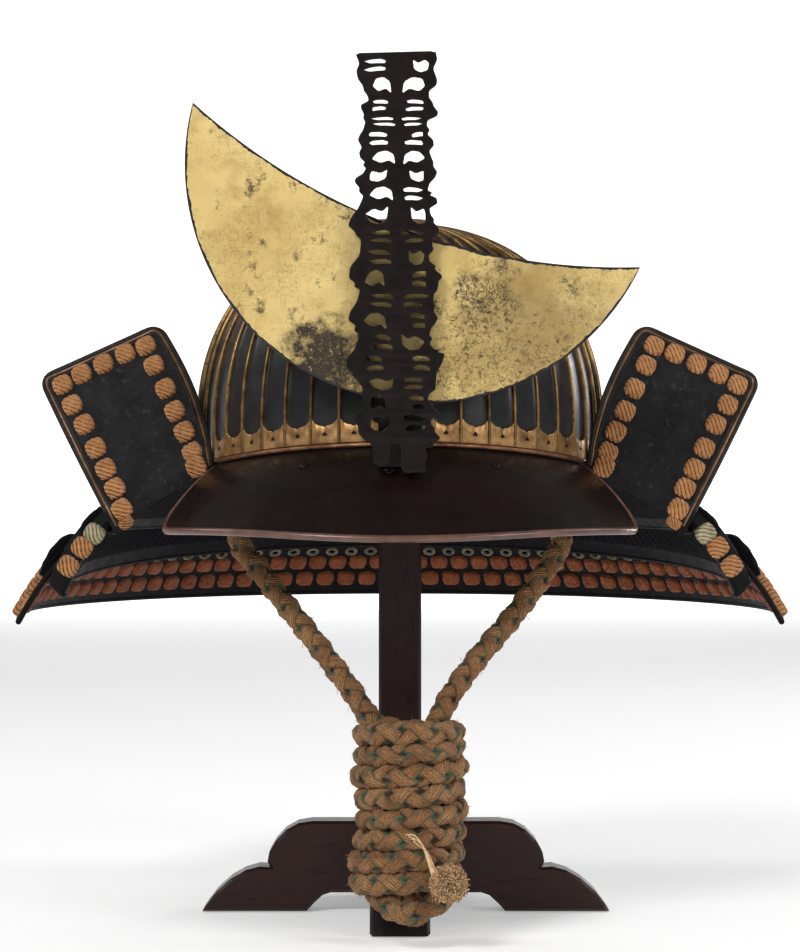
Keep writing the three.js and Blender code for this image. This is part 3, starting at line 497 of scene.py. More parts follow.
def braided(name, route, replaces=()):
    """A round braid of four flattened strands that cross over and under, with some loose fibres."""
    path = smooth_path(route, BRAID_STEP)
    n = len(path)
    shape, frames = Shape(), frames_along(path)
    for way, first in ((1, 0), (1, math.pi), (-1, 0), (-1, math.pi)):
        line, outward = [], []
        for i, (p, a, b) in enumerate(frames):
            turned = BRAID_TURN * i * BRAID_STEP
            angle = way * turned + first
            outward.append(a * math.cos(angle) + b * math.sin(angle))
            line.append(p + outward[-1] * CORD_D * (STRAND_OUT + way * STRAND_SWAY * math.cos(2 * turned)))
        rings = []
        for i in range(n):
            along = (line[min(i + 1, n - 1)] - line[max(i - 1, 0)]).normalized()
            across = along.cross(outward[i]).normalized()
            ring = []
            for k in range(STRAND_SIDES):
                f = TAU * k / STRAND_SIDES
                # How far round from the strand's crown; the cord's look paints its crevice shade and yarn
                # lines by this
                shape.marks.append(min(k, STRAND_SIDES - k) / (STRAND_SIDES / 2))
                d = CORD_D * (1 + 0.045 * math.cos(6 * f - way * 0.35 * i))
                out, side = STRAND_THICK * d * math.cos(f), STRAND_WIDE * d * math.sin(f)
                ring.append(line[i] + outward[i] * out + across * side)
            rings.append(ring)
        shape.grid(rings, True, caps=0)
    shape.tube(path, CORD_D * CORE_R, 8, look=1)
    for k in range(int(length_of(path) / FIBRE_PITCH)):
        i = rng.randrange(4, n - 4)
        p, a, b = frames[i]
        t = (path[i + 1] - path[i - 1]).normalized()
        f = rng.uniform(0, TAU)
        out, side = a * math.cos(f) + b * math.sin(f), b * math.cos(f) - a * math.sin(f)
        root = p + out * CORD_D * 0.44
        lean = t * rng.uniform(-1, 1) + side * rng.uniform(-0.8, 0.8)
        tip = root + out * rng.uniform(1.3, 2.5) + lean * rng.uniform(1.8, 3.0)
        shape.tube([root, root + out * 0.9 + lean, tip], FIBRE_R, 3)
    return shape.make(name, [CORD_YARN, CORD_GREEN], "cord", replaces, 60), path


def cord_look(name, low, middle, high, faded):
    """Worn yarn: lines run along each strand with painted shade in their grooves, and its edges turn to
    painted shade mixed with green yarn in the crevices.
    """
    look, low = Look(name), srgb(*low)
    tone = look.ramp(look.noise(80, 5, 0.6), [(0.3, low), (0.5, srgb(*middle)), (0.72, srgb(*high))])
    color = look.blend(look.fade(look.noise(150, 5, 0.65), 0.56, 0.68, 0.75), tone, srgb(*faded))
    fine = look.noise(900, 5, 0.75)
    # Darker where the fine bumps sink: painted shade in the small hollows between fibres
    color = look.blend(look.ramp(fine, [(0.34, 0.75), (0.54, 0.0)]), color, dimmed(low, 0.3))
    # The mark is 0 on a strand's crown and 1 at its back
    away = look.marked("yarn")
    lines = look.wave(2.6, "X", 0.0, look.sum(away, look.fade(look.noise(110, 3), 0.3, 0.7, 0.14)))
    # Darker where the yarn lines sink into their grooves: painted shade
    color = look.blend(look.ramp(lines, [(0.05, 0.7), (0.4, 0.0)]), color, dimmed(low, 0.5))
    # Towards a strand's back: painted shade in the crevices, mixed with patches of the green yarn beneath
    crevice_shade_and_green = look.ramp(look.noise(210, 3), [(0.42, dimmed(low, 0.22)), (0.54, srgb(72, 92, 70))])
    color = look.blend(look.ramp(away, [(0.27, 0.0), (0.37, 0.5), (0.47, 0.95)]), color, crevice_shade_and_green)
    normal = look.bump(fine, 0.35, 0.8, below=look.bump(lines, 0.45))
    return look.done(color, 0.9, normal, Sheen_Weight=0.1, Sheen_Roughness=0.5, Specular_IOR_Level=0.15)


CORD_YARN = cord_look("cord_yarn", (116, 77, 46), (156, 111, 69), (182, 140, 94), (116, 110, 80))
CORD_GREEN = cord_look("cord_green", (24, 26, 20), (34, 42, 32), (58, 70, 54), (44, 36, 26))
# The hidden stretch, round inside the bowl's edge
BACK_HALF_W, BACK_HALF_L, BACK_Z, BACK_FROM = 97.5, 109.5, 236, rad(51)
BACK_ROUTE = []
for k in range(25):
    a = lerp(BACK_FROM, TAU - BACK_FROM, k / 24)
    BACK_ROUTE.append([-BACK_HALF_W * math.sin(a), -BACK_HALF_L * math.cos(a), BACK_Z])
left_cord, left_path = braided("chin_cord_wound", LEFT_LEG + coil_points() + LAST_LOOP,
                               ("chin_cord_left", "cord_bundle"))
right_cord, right_path = braided("chin_cord_right_leg", RIGHT_LEG, ("chin_cord_right",))
back_cord, back_path = braided("chin_cord_hidden", BACK_ROUTE, ("chin_cord_back",))


def bristle(name, dark, light):
    look = Look(name)
    color = look.ramp(look.noise(500, 4, 0.6), [(0.3, srgb(*dark)), (0.7, srgb(*light))])
    return look.done(color, 0.85, look.bump(look.noise(1500, 3, 0.6), 0.1), Sheen_Weight=0.4)


BRISTLE = bristle("bristle", (166, 132, 88), (214, 184, 138))
BRISTLE_DARK = bristle("bristle_dark", (92, 66, 40), (134, 98, 62))
BRUSH_X, BRUSH_Z, BRUSH_R, BRUSH_BACK_Y, BRUSH_FRONT_Y = 24, 34, 10.4, -160.6, -171
BRISTLES, LOOSE_YARNS = 700, 6
# The brush's body: how far back, its radius, and how far it lies to the right
BRUSH_BODY = ((BRUSH_BACK_Y, 4.3, 1.8), (-163.5, 5.9, 1), (-166, 7.8, 0.4), (-169, 9.6, 0), (-169.6, 8, 0),
              (-169.2, 0.5, 0))


def brush():
    """The cord's cut end: its yarns fan out from the binding into a flat brush that faces forward."""
    shape = Shape()
    shape.grid([[[BRUSH_X + dx + r * c, y, BRUSH_Z + r * s] for c, s in circle(24)]
                for y, r, dx in BRUSH_BODY], True)
    shape.marks = [0.0]
    for k in range(BRISTLES):
        a = rng.uniform(0, TAU)
        r = BRUSH_R * math.sqrt(rng.uniform(0.02, 1)) * rng.uniform(0.92, 1.04)
        y = BRUSH_FRONT_Y + 1.2 * (r / 10) ** 2 + rng.uniform(-0.3, 1.4)
        line = [[BRUSH_X + math.cos(a) * r * q, lerp(BRUSH_BACK_Y, y, w), BRUSH_Z + math.sin(a) * r * q]
                for q, w in ((0.3, 0.1), (0.55, 0.5), (0.8, 0.82), (1, 1))]
        shape.tube(line, lambda t: 0.4 - 0.12 * t, 4, look=1 if rng.random() < 0.55 else 2)
    # Loose yarns that run down over the turns to the brush
    for k in range(LOOSE_YARNS):
        u = k / (LOOSE_YARNS - 1)
        line = [[3 + 6 * u, -166.3 - 0.4 * u, 58 - 5 * u],
                [7 + 5 * u, -167.8, 57 - 6.5 * u + rng.uniform(-1, 1)],
                [11 + 3.5 * u, -169.4, 53 - 5 * u],
                [13.5 + 2.5 * u, -170, 46 - 2 * u],
                [16 + 4 * u, -168.5, 37]]
        shape.tube(smooth_path(line, 1.5), 0.42, 6, look=rng.choice((1, 1, 2)))
    return shape.make("cord_brush", [CORD_YARN, BRISTLE, BRISTLE_DARK], "cord_end", ("cord_brush_end",), 60)


brush_piece = brush()


# The bowl
HALF_W, HALF_L = 108.2, 120.2
TOP_Z, REAR_Z, FRONT_RISE, RISE_FROM, WALL, BULGE = 370, 243, 9.5, 0.35, 2.2, 2.2
RIBS, RIB_W, RIBS_TOP_R, HOLE_R = 46, 1.8, 20.5, 14
# Half widths across a rib and heights above the plates
RIB_SECTION = ((-1, -0.4), (-0.95, 1.2), (-0.6, 1.75), (0, 1.95), (0.6, 1.75), (0.95, 1.2), (1, -0.4))
PLATE_COLS, BAND_COLS, RIM_COLS = 12, 20, 5     # points between two ribs
PLATE_EDGE_UP, PLATE_HOLLOW = 0.95, 0.3
SHOULDER_Z = REAR_Z + 19
DOME = TOP_Z - SHOULDER_Z
UNEVEN = (HALF_L - HALF_W) / (HALF_L + HALF_W) / 2
STEP = TAU / RIBS
# The band's height at the ribs and at its lowest, and how its edge runs between them
BAND_SHOULDER, BAND_DIP, BAND_SPAN, BAND_KNEE = 12.7, 9.0, 0.88, 0.22


def angle_at(s):
    """The direction of a place round the bowl, so that even steps of s are about even on the oval."""
    return s + UNEVEN * math.sin(2 * s)


def on_bowl(angle, share, z, away=0.0):
    a, b = HALF_W * share + away, HALF_L * share + away
    return [a * math.sin(angle), -b * math.cos(angle), z]


def base_z(angle):
    return REAR_Z + FRONT_RISE * max(0, (math.cos(angle) - RISE_FROM) / (1 - RISE_FROM)) ** 1.3


def dome_at(lift):
    """The dome's share of the radius and its height, for a lift from 0 at its shoulder to 1 at the crown."""
    t = lift * math.pi / 2
    return max(math.cos(t), 0) ** (2 / BULGE), SHOULDER_Z + DOME * math.sin(t) ** (2 / BULGE)


def dome_normal(share):
    out, up = share ** (BULGE - 1) / HALF_W, (1 - share ** BULGE) ** (1 - 1 / BULGE) / DOME
    return out / math.hypot(out, up), up / math.hypot(out, up)


def lift_at(r):
    return 2 / math.pi * math.acos((r / HALF_W) ** (BULGE / 2))


def bowl_rows(top_r, count):
    """The outer rows from the base up: a share of the radius and a height for each direction."""
    def foot(a):
        return base_z(a) + BAND_SHOULDER + 1

    rows = [(1.0, lambda a, k=k: lerp(base_z(a), max(SHOULDER_Z, foot(a)), k / 4)) for k in range(5)]
    for k in range(1, count + 1):
        share, z = dome_at(lift_at(top_r) * k / count)
        rows.append((share, lambda a, z=z: max(z, foot(a))))
    return rows


def across_plates(cols):
    """The directions round the bowl, each with its nearness to a rib, from 1 on a rib to 0 between two."""
    return [(angle_at(k / cols * STEP), abs(2 * ((k % cols) / cols) - 1)) for k in range(RIBS * cols)]


def bowl():
    """Plates that are a little hollow between the ribs, their lining, and the raised ribs."""
    shape, ribs = Shape(), Shape()
    outer, inner, columns = [], [], across_plates(PLATE_COLS)
    for share, height in bowl_rows(HOLE_R, 44):
        nr, nz = dome_normal(share)
        ring = []
        for angle, u in columns:
            out = min(1, share * 5) * (PLATE_EDGE_UP * u ** 6 - PLATE_HOLLOW * (1 - u * u))
            ring.append(on_bowl(angle, share, height(angle) + out * nz, out * nr))
        outer.append(ring)
    for share, height in bowl_rows(HOLE_R, 20):
        nr, nz = dome_normal(share)
        inner.append([on_bowl(angle, share, height(angle) - WALL * nz, -WALL * nr) for angle, _ in columns])
    shape.grid(outer, around=True)
    start, n = shape.grid(inner, around=True, look=1), len(columns)
    shape.join(0, start, n)
    shape.join((len(outer) - 1) * n, start + (len(inner) - 1) * n, n)
    shape.make("bowl_plates", [PLATE, LINING], "black_iron", ("bowl",))
    for k in range(RIBS):
        rows = []
        for share, height in bowl_rows(RIBS_TOP_R, 40):
            nr, nz = dome_normal(share)
            half = min(RIB_W / 2 / (HALF_W * share), 0.3 * STEP)
            row = []
            for side, out in RIB_SECTION:
                angle = angle_at(k * STEP + side * half)
                z = height(angle) + out * nz + (0.2 if share == 1 else 0)
                row.append(on_bowl(angle, share, z, out * nr + 0.15))
            rows.append(row)
        ribs.grid(rows, around=True, caps=0)
    ribs.make("bowl_ribs", [RIB], "gilt")


bowl()

# Half of the heart-shaped hole in each panel of the band, how far up it lies, its front and its depth
HEART = [(0, 1.35), (0.5, 0.75), (1.05, 0.1), (1.2, -0.55), (0.8, -1.05), (0.3, -0.95), (0, -0.6)]
HEART_UP, HEART_AWAY, HEART_DEEP = 5, 1.42, 0.3
# Sections of the rings under the band: away from the bowl and up from its lower edge
BEAD_SECTION = [(1.5 + 1.2 * c, 1.2 * s - 1.3) for c, s in circle(10)]
HIP_SECTION = [(0, -0.3), (0, -3), (0.9, -3), (1.2, -3.3), (1.2, -14.6), (0.8, -15), (-1.6, -15), (-2, -14.6),
               (-2, -0.3)]


def rim_ring(section, name, look, slot, replaced, smooth):
    """A ring of the given section along the bowl's lower edge."""
    shape, rings = Shape(), []
    for i in range(RIBS * RIM_COLS):
        angle = angle_at(TAU * i / (RIBS * RIM_COLS))
        rings.append([on_bowl(angle, 1, base_z(angle) + up, away) for away, up in section])
    shape.grid(rings, around=True, along=True)
    shape.make(name, [look], slot, (replaced,), smooth)


def base_trim():
    """The gilt band with a black tongue down over each panel, its little holes as near-black hearts, the
    black plate beneath darkened as painted shade, and the rings below.
    """
    band, holes = Shape(), Shape()
    rows = [[] for _ in range(6)]
    for angle, u in across_plates(BAND_COLS):
        t, rest = min(1.0, u / BAND_SPAN), 1 - BAND_KNEE
        rise = BAND_KNEE * min(1, t / BAND_KNEE) ** 0.8 + rest * max(0, (t - BAND_KNEE) / rest) ** 2.4
        top = BAND_DIP - 0.6 + (BAND_SHOULDER + 0.5 - BAND_DIP) * rise
        section = ((0.2, 0.2), (1.1, 0.2), (1.35, 0.5), (1.35, top - 0.3), (1.15, top), (0.2, top))
        for row, (away, up) in zip(rows, section):
            row.append(on_bowl(angle, 1, base_z(angle) + up, away))
    band.grid(rows, around=True, along=True)
    band.make("gilt_band", [BAND], "gilt", ("gilt_base_band",), 40)
    heart = HEART + [(-x, z) for x, z in reversed(HEART[1:-1])]
    for k in range(RIBS):
        mid = (k + 0.5) * STEP
        z = base_z(angle_at(mid)) + HEART_UP
        # A flat near-black heart on the band's face for each hole: painted shade
        holes.grid([[on_bowl(angle_at(mid + x / HALF_W), 1, z + up, away) for x, up in heart]
                    for away in (HEART_AWAY, HEART_AWAY - HEART_DEEP)], around=True, caps=0)
    holes.make("band_hole_shade", [HOLE_PLATE_AND_SHADE], "black_iron", (), 40)
    rim_ring(BEAD_SECTION, "base_bead_fine", BEAD, "gilt", "base_bead", 50)
    rim_ring(HIP_SECTION, "hip_band_fine", BLACK, "black_lacquer", "hip_band", 40)


base_trim()
PETALS, PER_PETAL = 16, 9


def crown():
    """The crown ring: a low chrysanthemum collar of gilt petals."""
    shape = Shape()
    in_z, out_z = dome_at(lift_at(HOLE_R))[1] + 0.3, dome_at(lift_at(21))[1] + 0.3
    rings = []
    for i in range(PETALS * PER_PETAL):
        t = TAU * i / (PETALS * PER_PETAL)
        petal = abs(math.cos(PETALS / 2 * t)) ** 0.6
        section = [(14.3, in_z), (20 + 0.3 * petal, out_z + 0.3),
                   (20 + 0.5 * petal, out_z + 1.4 + 0.5 * petal),
                   (19 + 0.3 * petal, out_z + 2.1 + 0.7 * petal), (17.2, in_z + 2.9 + 0.8 * petal),
                   (15.6, in_z + 3.9), (14.8, in_z + 3.8), (14.3, in_z + 3)]
        rings.append([on_bowl(t, r / HALF_W, z) for r, z in section])
    shape.grid(rings, around=True, along=True)
    shape.make("crown_collar", [BAND], "gilt", ("crown_ring",), 40)


crown()

# The visor, from the bowl's front edge to its own rim
SHEET = 2.0
VISOR_FROM, VISOR_TURN = rad(61), rad(80)
VISOR_HALF_W, VISOR_FRONT_Y, VISOR_DEEP, VISOR_Z = 123.5, -170, 75, 203
VISOR_CORNER_R, VISOR_RIM_R, RIM_INSET, VISOR_SAG = 15, 1.85, 0.018, 3
VISOR_HALF_ARC, VISOR_LONG = 150, 60
RIVETS = (("left", -0.385, 0.22), ("centre", -0.04, 0.3), ("right", 0.385, 0.22))
RIVET_SECTION = ((0.1, 2.35), (0.5, 2.3), (0.95, 1.95), (1.25, 1.3), (1.38, 0.6), (1.42, 0.05))


def on_visor(s, v):
    """A point of the visor: s from -1 to 1 across it, v from the bowl to its rim."""
    angle = VISOR_FROM * s
    x0, y0, z0 = on_bowl(angle, 1, base_z(angle) - 4.7, 2.5)
    turn = VISOR_TURN * s
    x1 = VISOR_HALF_W * math.sin(turn) / math.sin(VISOR_TURN)
    y1 = VISOR_FRONT_Y + VISOR_DEEP * (1 - math.cos(turn)) / (1 - math.cos(VISOR_TURN))
    z1 = VISOR_Z + 3 * s * s + 2.2 * math.sin(math.pi * min(1, abs(s) / 1.1)) ** 2
    sag = VISOR_SAG * math.sin(math.pi * v)
    return [lerp(x0, x1, v), lerp(y0, y1, v) - sag * 0.4, lerp(z0, z1, v) + sag]


def visor_reach(s):
    """How far v goes at s: all the way, and less at the rounded corners."""
    r = VISOR_CORNER_R
    d = min(r, (1 - abs(s)) * VISOR_HALF_ARC)
    return 1 - (r - math.sqrt(max(0, r * r - (r - d) ** 2))) / VISOR_LONG


def visor():
    shape = Shape()
    sides = [math.sin(math.pi / 2 * (-1 + 2 * i / 120)) for i in range(121)]
    shape.sheet([[on_visor(s, 0.985 * visor_reach(s) * j / 30) for j in range(31)] for s in sides], SHEET)
    shape.tube([on_visor(s, visor_reach(s) - RIM_INSET) for s in sides], VISOR_RIM_R, 12, look=1)
    for s in (-1, 1):
        side = [on_visor(s * 0.999, lerp(0.03, visor_reach(s) - RIM_INSET, k / 14)) for k in range(15)]
        shape.tube(side, lambda t: 1.3 + 0.5 * t, 10, look=1)
    shape.make("visor_fine", [LACQUER, VISOR_RIM], "brown_lacquer", ("visor",))
    for name, s, v in RIVETS:
        c = Vector(on_visor(s, v))
        e = (Vector(on_visor(s + 0.03, v)) - c).normalized()
        n = e.cross(Vector(on_visor(s, v + 0.05)) - c).normalized()
        n = -n if n.z < 0 else n
        f = n.cross(e)
        outs = [e * right + f * up for right, up in circle(20)]
        rivet = Shape()
        rivet.grid([[c + n * (SHEET / 2 + up) + out * r for out in outs] for up, r in RIVET_SECTION], True)
        rivet.make(f"rivet_{name}", [LACQUER], "brown_lacquer", (f"visor_rivet_{name}",), 60)


visor()

# The neck guard. Each lame: half width, half depth and height of its top and bottom edges, how much higher
# these lie at the rear, where its front ends lie, how far their corners drop, and how far its middle bulges
LAMES = {
    1: {"top": [110.7, 122.7, 239], "bottom": [158, 166, 204.5], "rear": [0, 3], "ends": [-57, -55],
        "corner": 0, "bulge": 2},
    2: {"top": [155.2, 163.2, 212], "bottom": [183, 184.6, 158], "rear": [3, 36], "ends": [-42, -42],
        "corner": 0, "bulge": 2.5},
    3: {"top": [174, 186.6, 199], "bottom": [206, 212, 158], "rear": [1, 7], "ends": [-20, -20],
        "corner": 4.5, "bulge": 2},
}
# Stations round a lame, how many of them its dropped corners take, and how far down its rows of points lie
STATIONS, CORNER_STATIONS = 150, 8
DOWNS = [0, 0.03, 0.06] + [0.06 + 0.88 * k / 12 for k in range(1, 12)] + [0.94, 0.97, 1]


def on_lame(lame, a, v, off=0.0):
    """A point of a lame in direction a, v down from its top edge and off outside its middle surface."""
    w, l, z = (lerp(lame["top"][k], lame["bottom"][k], v) for k in range(3))
    out = lame["bulge"] * math.sin(math.pi * max(0, min(1, v)))
    rise = lerp(*lame["rear"], v) * (1 - math.cos(a)) / 2
    slope = math.atan2(lame["top"][2] - lame["bottom"][2], lame["bottom"][0] - lame["top"][0])
    side, up = off * math.sin(slope), off * math.cos(slope)
    return [(w + out + side) * math.sin(a), -(l + out + side) * math.cos(a), z + rise + out * 0.6 + up]


def lame_end(lame, v):
    return math.acos(-lerp(*lame["ends"], v) / lerp(lame["top"][1], lame["bottom"][1], v))


def lame_point(lame, i, v, off=0.0):
    """Station i round the back from the left front end, v down from the top edge."""
    end = lame_end(lame, v)
    x, y, z = on_lame(lame, -lerp(end, TAU - end, i / STATIONS), v, off)
    near = max(0, 1 - min(i, STATIONS - i) / CORNER_STATIONS)
    return [x, y, z - lame["corner"] * v * near]


EAR_TOP_IN, EAR_TOP_OUT = [-128.8, -32, 315.5], [-192, -32, 287]
EAR_WIDE, EAR_TALL, EAR_R = 67, 78, 6
# The ear's fold begins at this share of its height; its blocks count it from this far down, over this length
FOLD_SHARE, FOLD_AT, FOLD_LONG = 0.84, 65.5, 14


def on_ear(d, v):
    """The left ear, d down from its top edge; v from its inner to its outer edge."""
    inset = EAR_R - math.sqrt(max(0, EAR_R ** 2 - (EAR_R - d) ** 2)) if d < EAR_R else 0
    share = lerp(inset / EAR_WIDE, 1 - inset / EAR_WIDE, v)
    e = 1 - d / EAR_TALL
    foot = mix(lame_point(LAMES[1], 0, 0), lame_point(LAMES[1], 0, 1), share)
    p = mix(foot, mix(EAR_TOP_IN, EAR_TOP_OUT, share), e)
    swell = math.sin(math.pi * e) * (1 - v)
    return [p[0] + 4.7 * swell, p[1] - 7 * math.sin(math.pi * e), p[2] + 1.5 * swell]


def ear_fold(v, t):
    """Where the ear turns back into the lame: t from 0 at the ear to 1 at the lame."""
    foot = lame_point(LAMES[1], 0, v)
    a = Vector(on_ear(FOLD_SHARE * EAR_TALL, v))
    b = Vector(mix(foot, mix(EAR_TOP_IN, EAR_TOP_OUT, v), 0.06)) + Vector((0, -5.6, 1))
    return a.lerp(b, t).lerp(b.lerp(Vector(foot), t), t)


def ear_rows():
    """The left ear, from its top edge down to where it turns into the lame."""
    depths = (0, 0.5, 1.2, 2, 3, 4.5, 6, 9, 14, 20, 26, 32, 38, 44, 50, 56, 61)
    rows = [[on_ear(d, v) for v in DOWNS] for d in depths]
    return rows + [[ear_fold(v, t) for v in DOWNS] for t in (0, 0.15, 0.3, 0.45, 0.6, 0.75, 0.9)]


# The second lame's turned end: how far each row lies from the lame's own end, and whether its top is narrow
TURNED = (([-7.2, 2, 6.8], True), ([-5.6, -0.6, 5.2], True), ([-3.5, -2.2, 3.3], True),
          ([-1.9, -3.2, 1.6], False), ([-0.6, -2.2, 0.3], False))


def turned_rows():
    end = [(lame_point(LAMES[2], 0, v), v) for v in DOWNS]
    return [[[c + m * (0.75 if narrows and v < 0.06 else 1) for c, m in zip(p, move)] for p, v in end]
            for move, narrows in TURNED]


def lame_stations(number, left_end):
    """Rows of points round the lame, between its left end's rows and their mirror image."""
    rows = [[lame_point(LAMES[number], i, v) for v in DOWNS] for i in range(STATIONS + 1)]
    return left_end + rows + [[flipped(p, -1) for p in row] for row in reversed(left_end)]


def make_lames():
    stations = lame_stations(1, ear_rows())
    n = len(stations)
    shape = Shape()
    shape.sheet(stations, SHEET, look=2)
    # The dark raised rim all round the ears, with a thin gilt line along it
    for inset, r, look, lift in ((0, 1.4, 3, 0), (1.5, 0.75, 1, 1.0), (2.9, 0.7, 3, 1.0)):
        lo, hi = inset / EAR_WIDE, 1 - inset / EAR_WIDE
        downs = [d + inset for d in (0.5, 1.2, 2, 3, 4.5)] + list(range(8, 65, 4))
        edge = [ear_fold(lo, t) for t in (0.8, 0.6, 0.4, 0.2)] + [on_ear(d, lo) for d in reversed(downs)]
        edge += [on_ear(inset, lerp(lo, hi, q)) for q in (0, 0.15, 0.35, 0.6, 0.85, 1)]
        edge += [on_ear(d, hi) for d in downs] + [ear_fold(hi, t) for t in (0.2, 0.4, 0.6, 0.8)]
        for flip in (1, -1):
            shape.tube(smooth_path([flipped((x, y - lift, z), flip) for x, y, z in edge], 2), r, 8, look=look)
    shape.tube([row[-1] for row in stations[18:n - 18]], 1.5, 10)
    shape.tube([row[0] for row in stations[24:n - 24]], 1.3, 8)
    looks = [BLACK, EAR_RIM_LOOK, LEATHER, EAR_EDGE]
    shape.make("lame_1_fine", looks, "black_lacquer", ("lame_1_with_ears",), 40)
    for number, left_end, low_r, end_r in ((2, turned_rows(), 1.5, 1.35), (3, [], 1.6, 1.6)):
        stations = lame_stations(number, left_end)
        shape = Shape()
        shape.sheet(stations, SHEET)
        for j, r in ((-1, low_r), (0, 1.3)):
            shape.tube([row[j] for row in stations], r, 10)
        for end in (stations[0], stations[-1]):
            shape.tube(end, end_r, 10)
        shape.make(f"lame_{number}_fine", [BLACK], "black_lacquer", (f"lame_{number}",), 40)


make_lames()


def surface(point, i, j, di=0.5, dj=0.01):
    """A point of a surface with its two directions and its normal."""
    c = Vector(point(i, j))
    ex = (Vector(point(i + di, j)) - c).normalized()
    ey = (Vector(point(i, j + dj)) - c).normalized()
    n = ex.cross(ey).normalized()
    return c, ex, n.cross(ex), n


def arc_of(lame, v):
    return length_of([Vector(lame_point(lame, i, v)) for i in range(STATIONS + 1)])


def v_up(lame, i, up):
    """How far down the lame a point lies that is up above its bottom edge at station i."""
    return 1 - up / (Vector(lame_point(lame, i, 1)) - Vector(lame_point(lame, i, 0))).length


def face_of(lame, i, v, side):
    c, ex, ey, n = surface(lambda ii, vv: lame_point(lame, ii, vv, side * SHEET / 2), i, v)
    return c, ex, ey, (-n if n.dot(Vector((c.x, c.y, 0)) * side) < 0 else n)


BLOCK_PITCH, CORD_PITCH = 13.1, 5.4
# Each row's height above the lame's lower edge, and the place of its first block
BLOCK_ROWS = ((10.2, 0.42), (22.0, 0.92))
BLOCK_SIZE, KNOTS_UP, KNOT_R = (10.9, 10.0, 2.0), 31.4, 1.05
LACING_ROWS, PER_CORD = 9, 5


def blocks_and_knots(number, side):
    """Rows of braid blocks along a lame, and crossed knots outside or small loops inside above them."""
    lame, where = LAMES[number], "outside" if side > 0 else "inside"
    blocks, loops = Shape(), Shape()
    many = round(arc_of(lame, 0.85) / BLOCK_PITCH)
    for up, first in BLOCK_ROWS:
        for k in range(many):
            i = (k + first) / many * STATIONS
            if i <= STATIONS - 1:
                blocks.block(*face_of(lame, i, v_up(lame, i, up), side), *BLOCK_SIZE, 11, 4)
    for k in range(many):
        i = (k + 0.5) / many * STATIONS
        c, ex, ey, n = face_of(lame, i, v_up(lame, i, KNOTS_UP), side)
        if side > 0:
            for turn in (1, -1):
                arm = (ex + ey * (0.75 * turn)).normalized()
                loops.tube([c - arm * 4.6 + n * 0.2, c - arm * 2.4 + n * 1.5, c + n * (2.0 + 0.35 * turn),
                            c + arm * 2.4 + n * 1.5, c + arm * 4.6 + n * 0.2], KNOT_R, 6)
        else:
            ring = [c + n * 1.1 + ex * (right * 2.9) + ey * (up * 2.3) for right, up in circle(12)]
            loops.tube(ring, KNOT_R, 6, closed=True)
    blocks.make(f"blocks_{number}_{where}", [TAN if side > 0 else RUST], "cord")
    loops.make(f"knots_{number}_{where}", [KNOT if side > 0 else LOOP_AND_GROOVE_SHADE], "cord", (), 60)


def dense_lacing(number, side):
    """Dark cords side by side, from the knots up over the lame's top edge."""
    lame, where = LAMES[number], "outside" if side > 0 else "inside"
    cols = round(arc_of(lame, 0.3) / CORD_PITCH) * PER_CORD
    top = 0.02 if side > 0 else 0.1
    low = 35.0 if side > 0 or number == 3 else 9.0
    puff = 2.2 if side > 0 and number > 1 else 0.6
    rows = []
    for q in range(LACING_ROWS):
        swell = math.sin(math.pi * min(1, q / 7)) ** 0.8
        row = []
        for k in range(cols + 1):
            i = lerp(0.6, STATIONS - 0.6, k / cols)
            wave = abs(math.sin(math.pi * k / PER_CORD)) ** 0.7
            off = 1.15 + 0.9 * wave * (0.25 + 0.75 * swell) + puff * swell
            v = lerp(max(v_up(lame, i, low), top + 0.05), top, q / (LACING_ROWS - 1))
            row.append(lame_point(lame, i, v, side * off))
        rows.append(row)
    band = Shape()
    band.grid(rows)
    band.make(f"lacing_{number}_{where}", [NAVY], "cord", (), 70)


def put_block(shape, place_at, size, n, lines, rounding):
    """A block of braid whose grooves between the yarns have a darker look of their own as painted shade, and
    its mirror image.
    """
    for flip in (1, -1):
        shape.block(*(flipped(q, flip) for q in place_at), *size, n, lines, flip, rounding, True)


# The thick cords that bulge out at the front ends: their lame and how far out they go, then how far down the
# lame each point of such a cord lies and its share of that distance
BULGES = ((2, 8.2), (2, 4.5), (3, 4.6), (3, 2))
BULGE_CORD_R, BULGE_CORDS, BULGE_STEP = 2.5, 10, 1.15
EDGE_BLOCK_SIZE = 9.5, 9.5, 4.6
BULGE_LINE = ((0.0, 0.55), (0.04, 0.85), (0.12, 1), (0.24, 0.92), (0.36, 0.6), (0.48, 0.1))


def lacings():
    for number in LAMES:
        for side in (1, -1):
            if side > 0 or number == 3:
                blocks_and_knots(number, side)
            dense_lacing(number, side)
    bulges = Shape()
    for number, far in BULGES:
        for k in range(BULGE_CORDS):
            i, swell = 0.7 + BULGE_STEP * k, far * (1 - k / 14)
            line = [lame_point(LAMES[number], i, v, 1.3 + swell * share) for v, share in BULGE_LINE]
            for flip in (1, -1):
                bulges.tube(smooth_path([flipped(p, flip) for p in line], 1.5), BULGE_CORD_R, 9,
                            wave=lambda a, i: 1 + 0.08 * math.cos(4 * a + 1.2 * i))
    bulges.make("lacing_bulges", [NAVY], "cord", (), 60)
    # Braid down the outside of each front edge of the lowest lame, with a knot at its top
    edging, knots = Shape(), Shape()
    for k in range(5):
        place_at = face_of(LAMES[3], 1.5, lerp(0.34, 0.9, k / 4), 1)
        put_block(edging if k else knots, place_at, EDGE_BLOCK_SIZE, 15, 5, 0.8)
    # The blocks' grooves take the dark tan, and the knots' grooves the grey, as painted shade
    edging.make("edge_braid", [TAN, TAN_GROOVE_SHADE], "cord")
    knots.make("edge_knots", [KNOT, LOOP_AND_GROOVE_SHADE], "cord")


lacings()

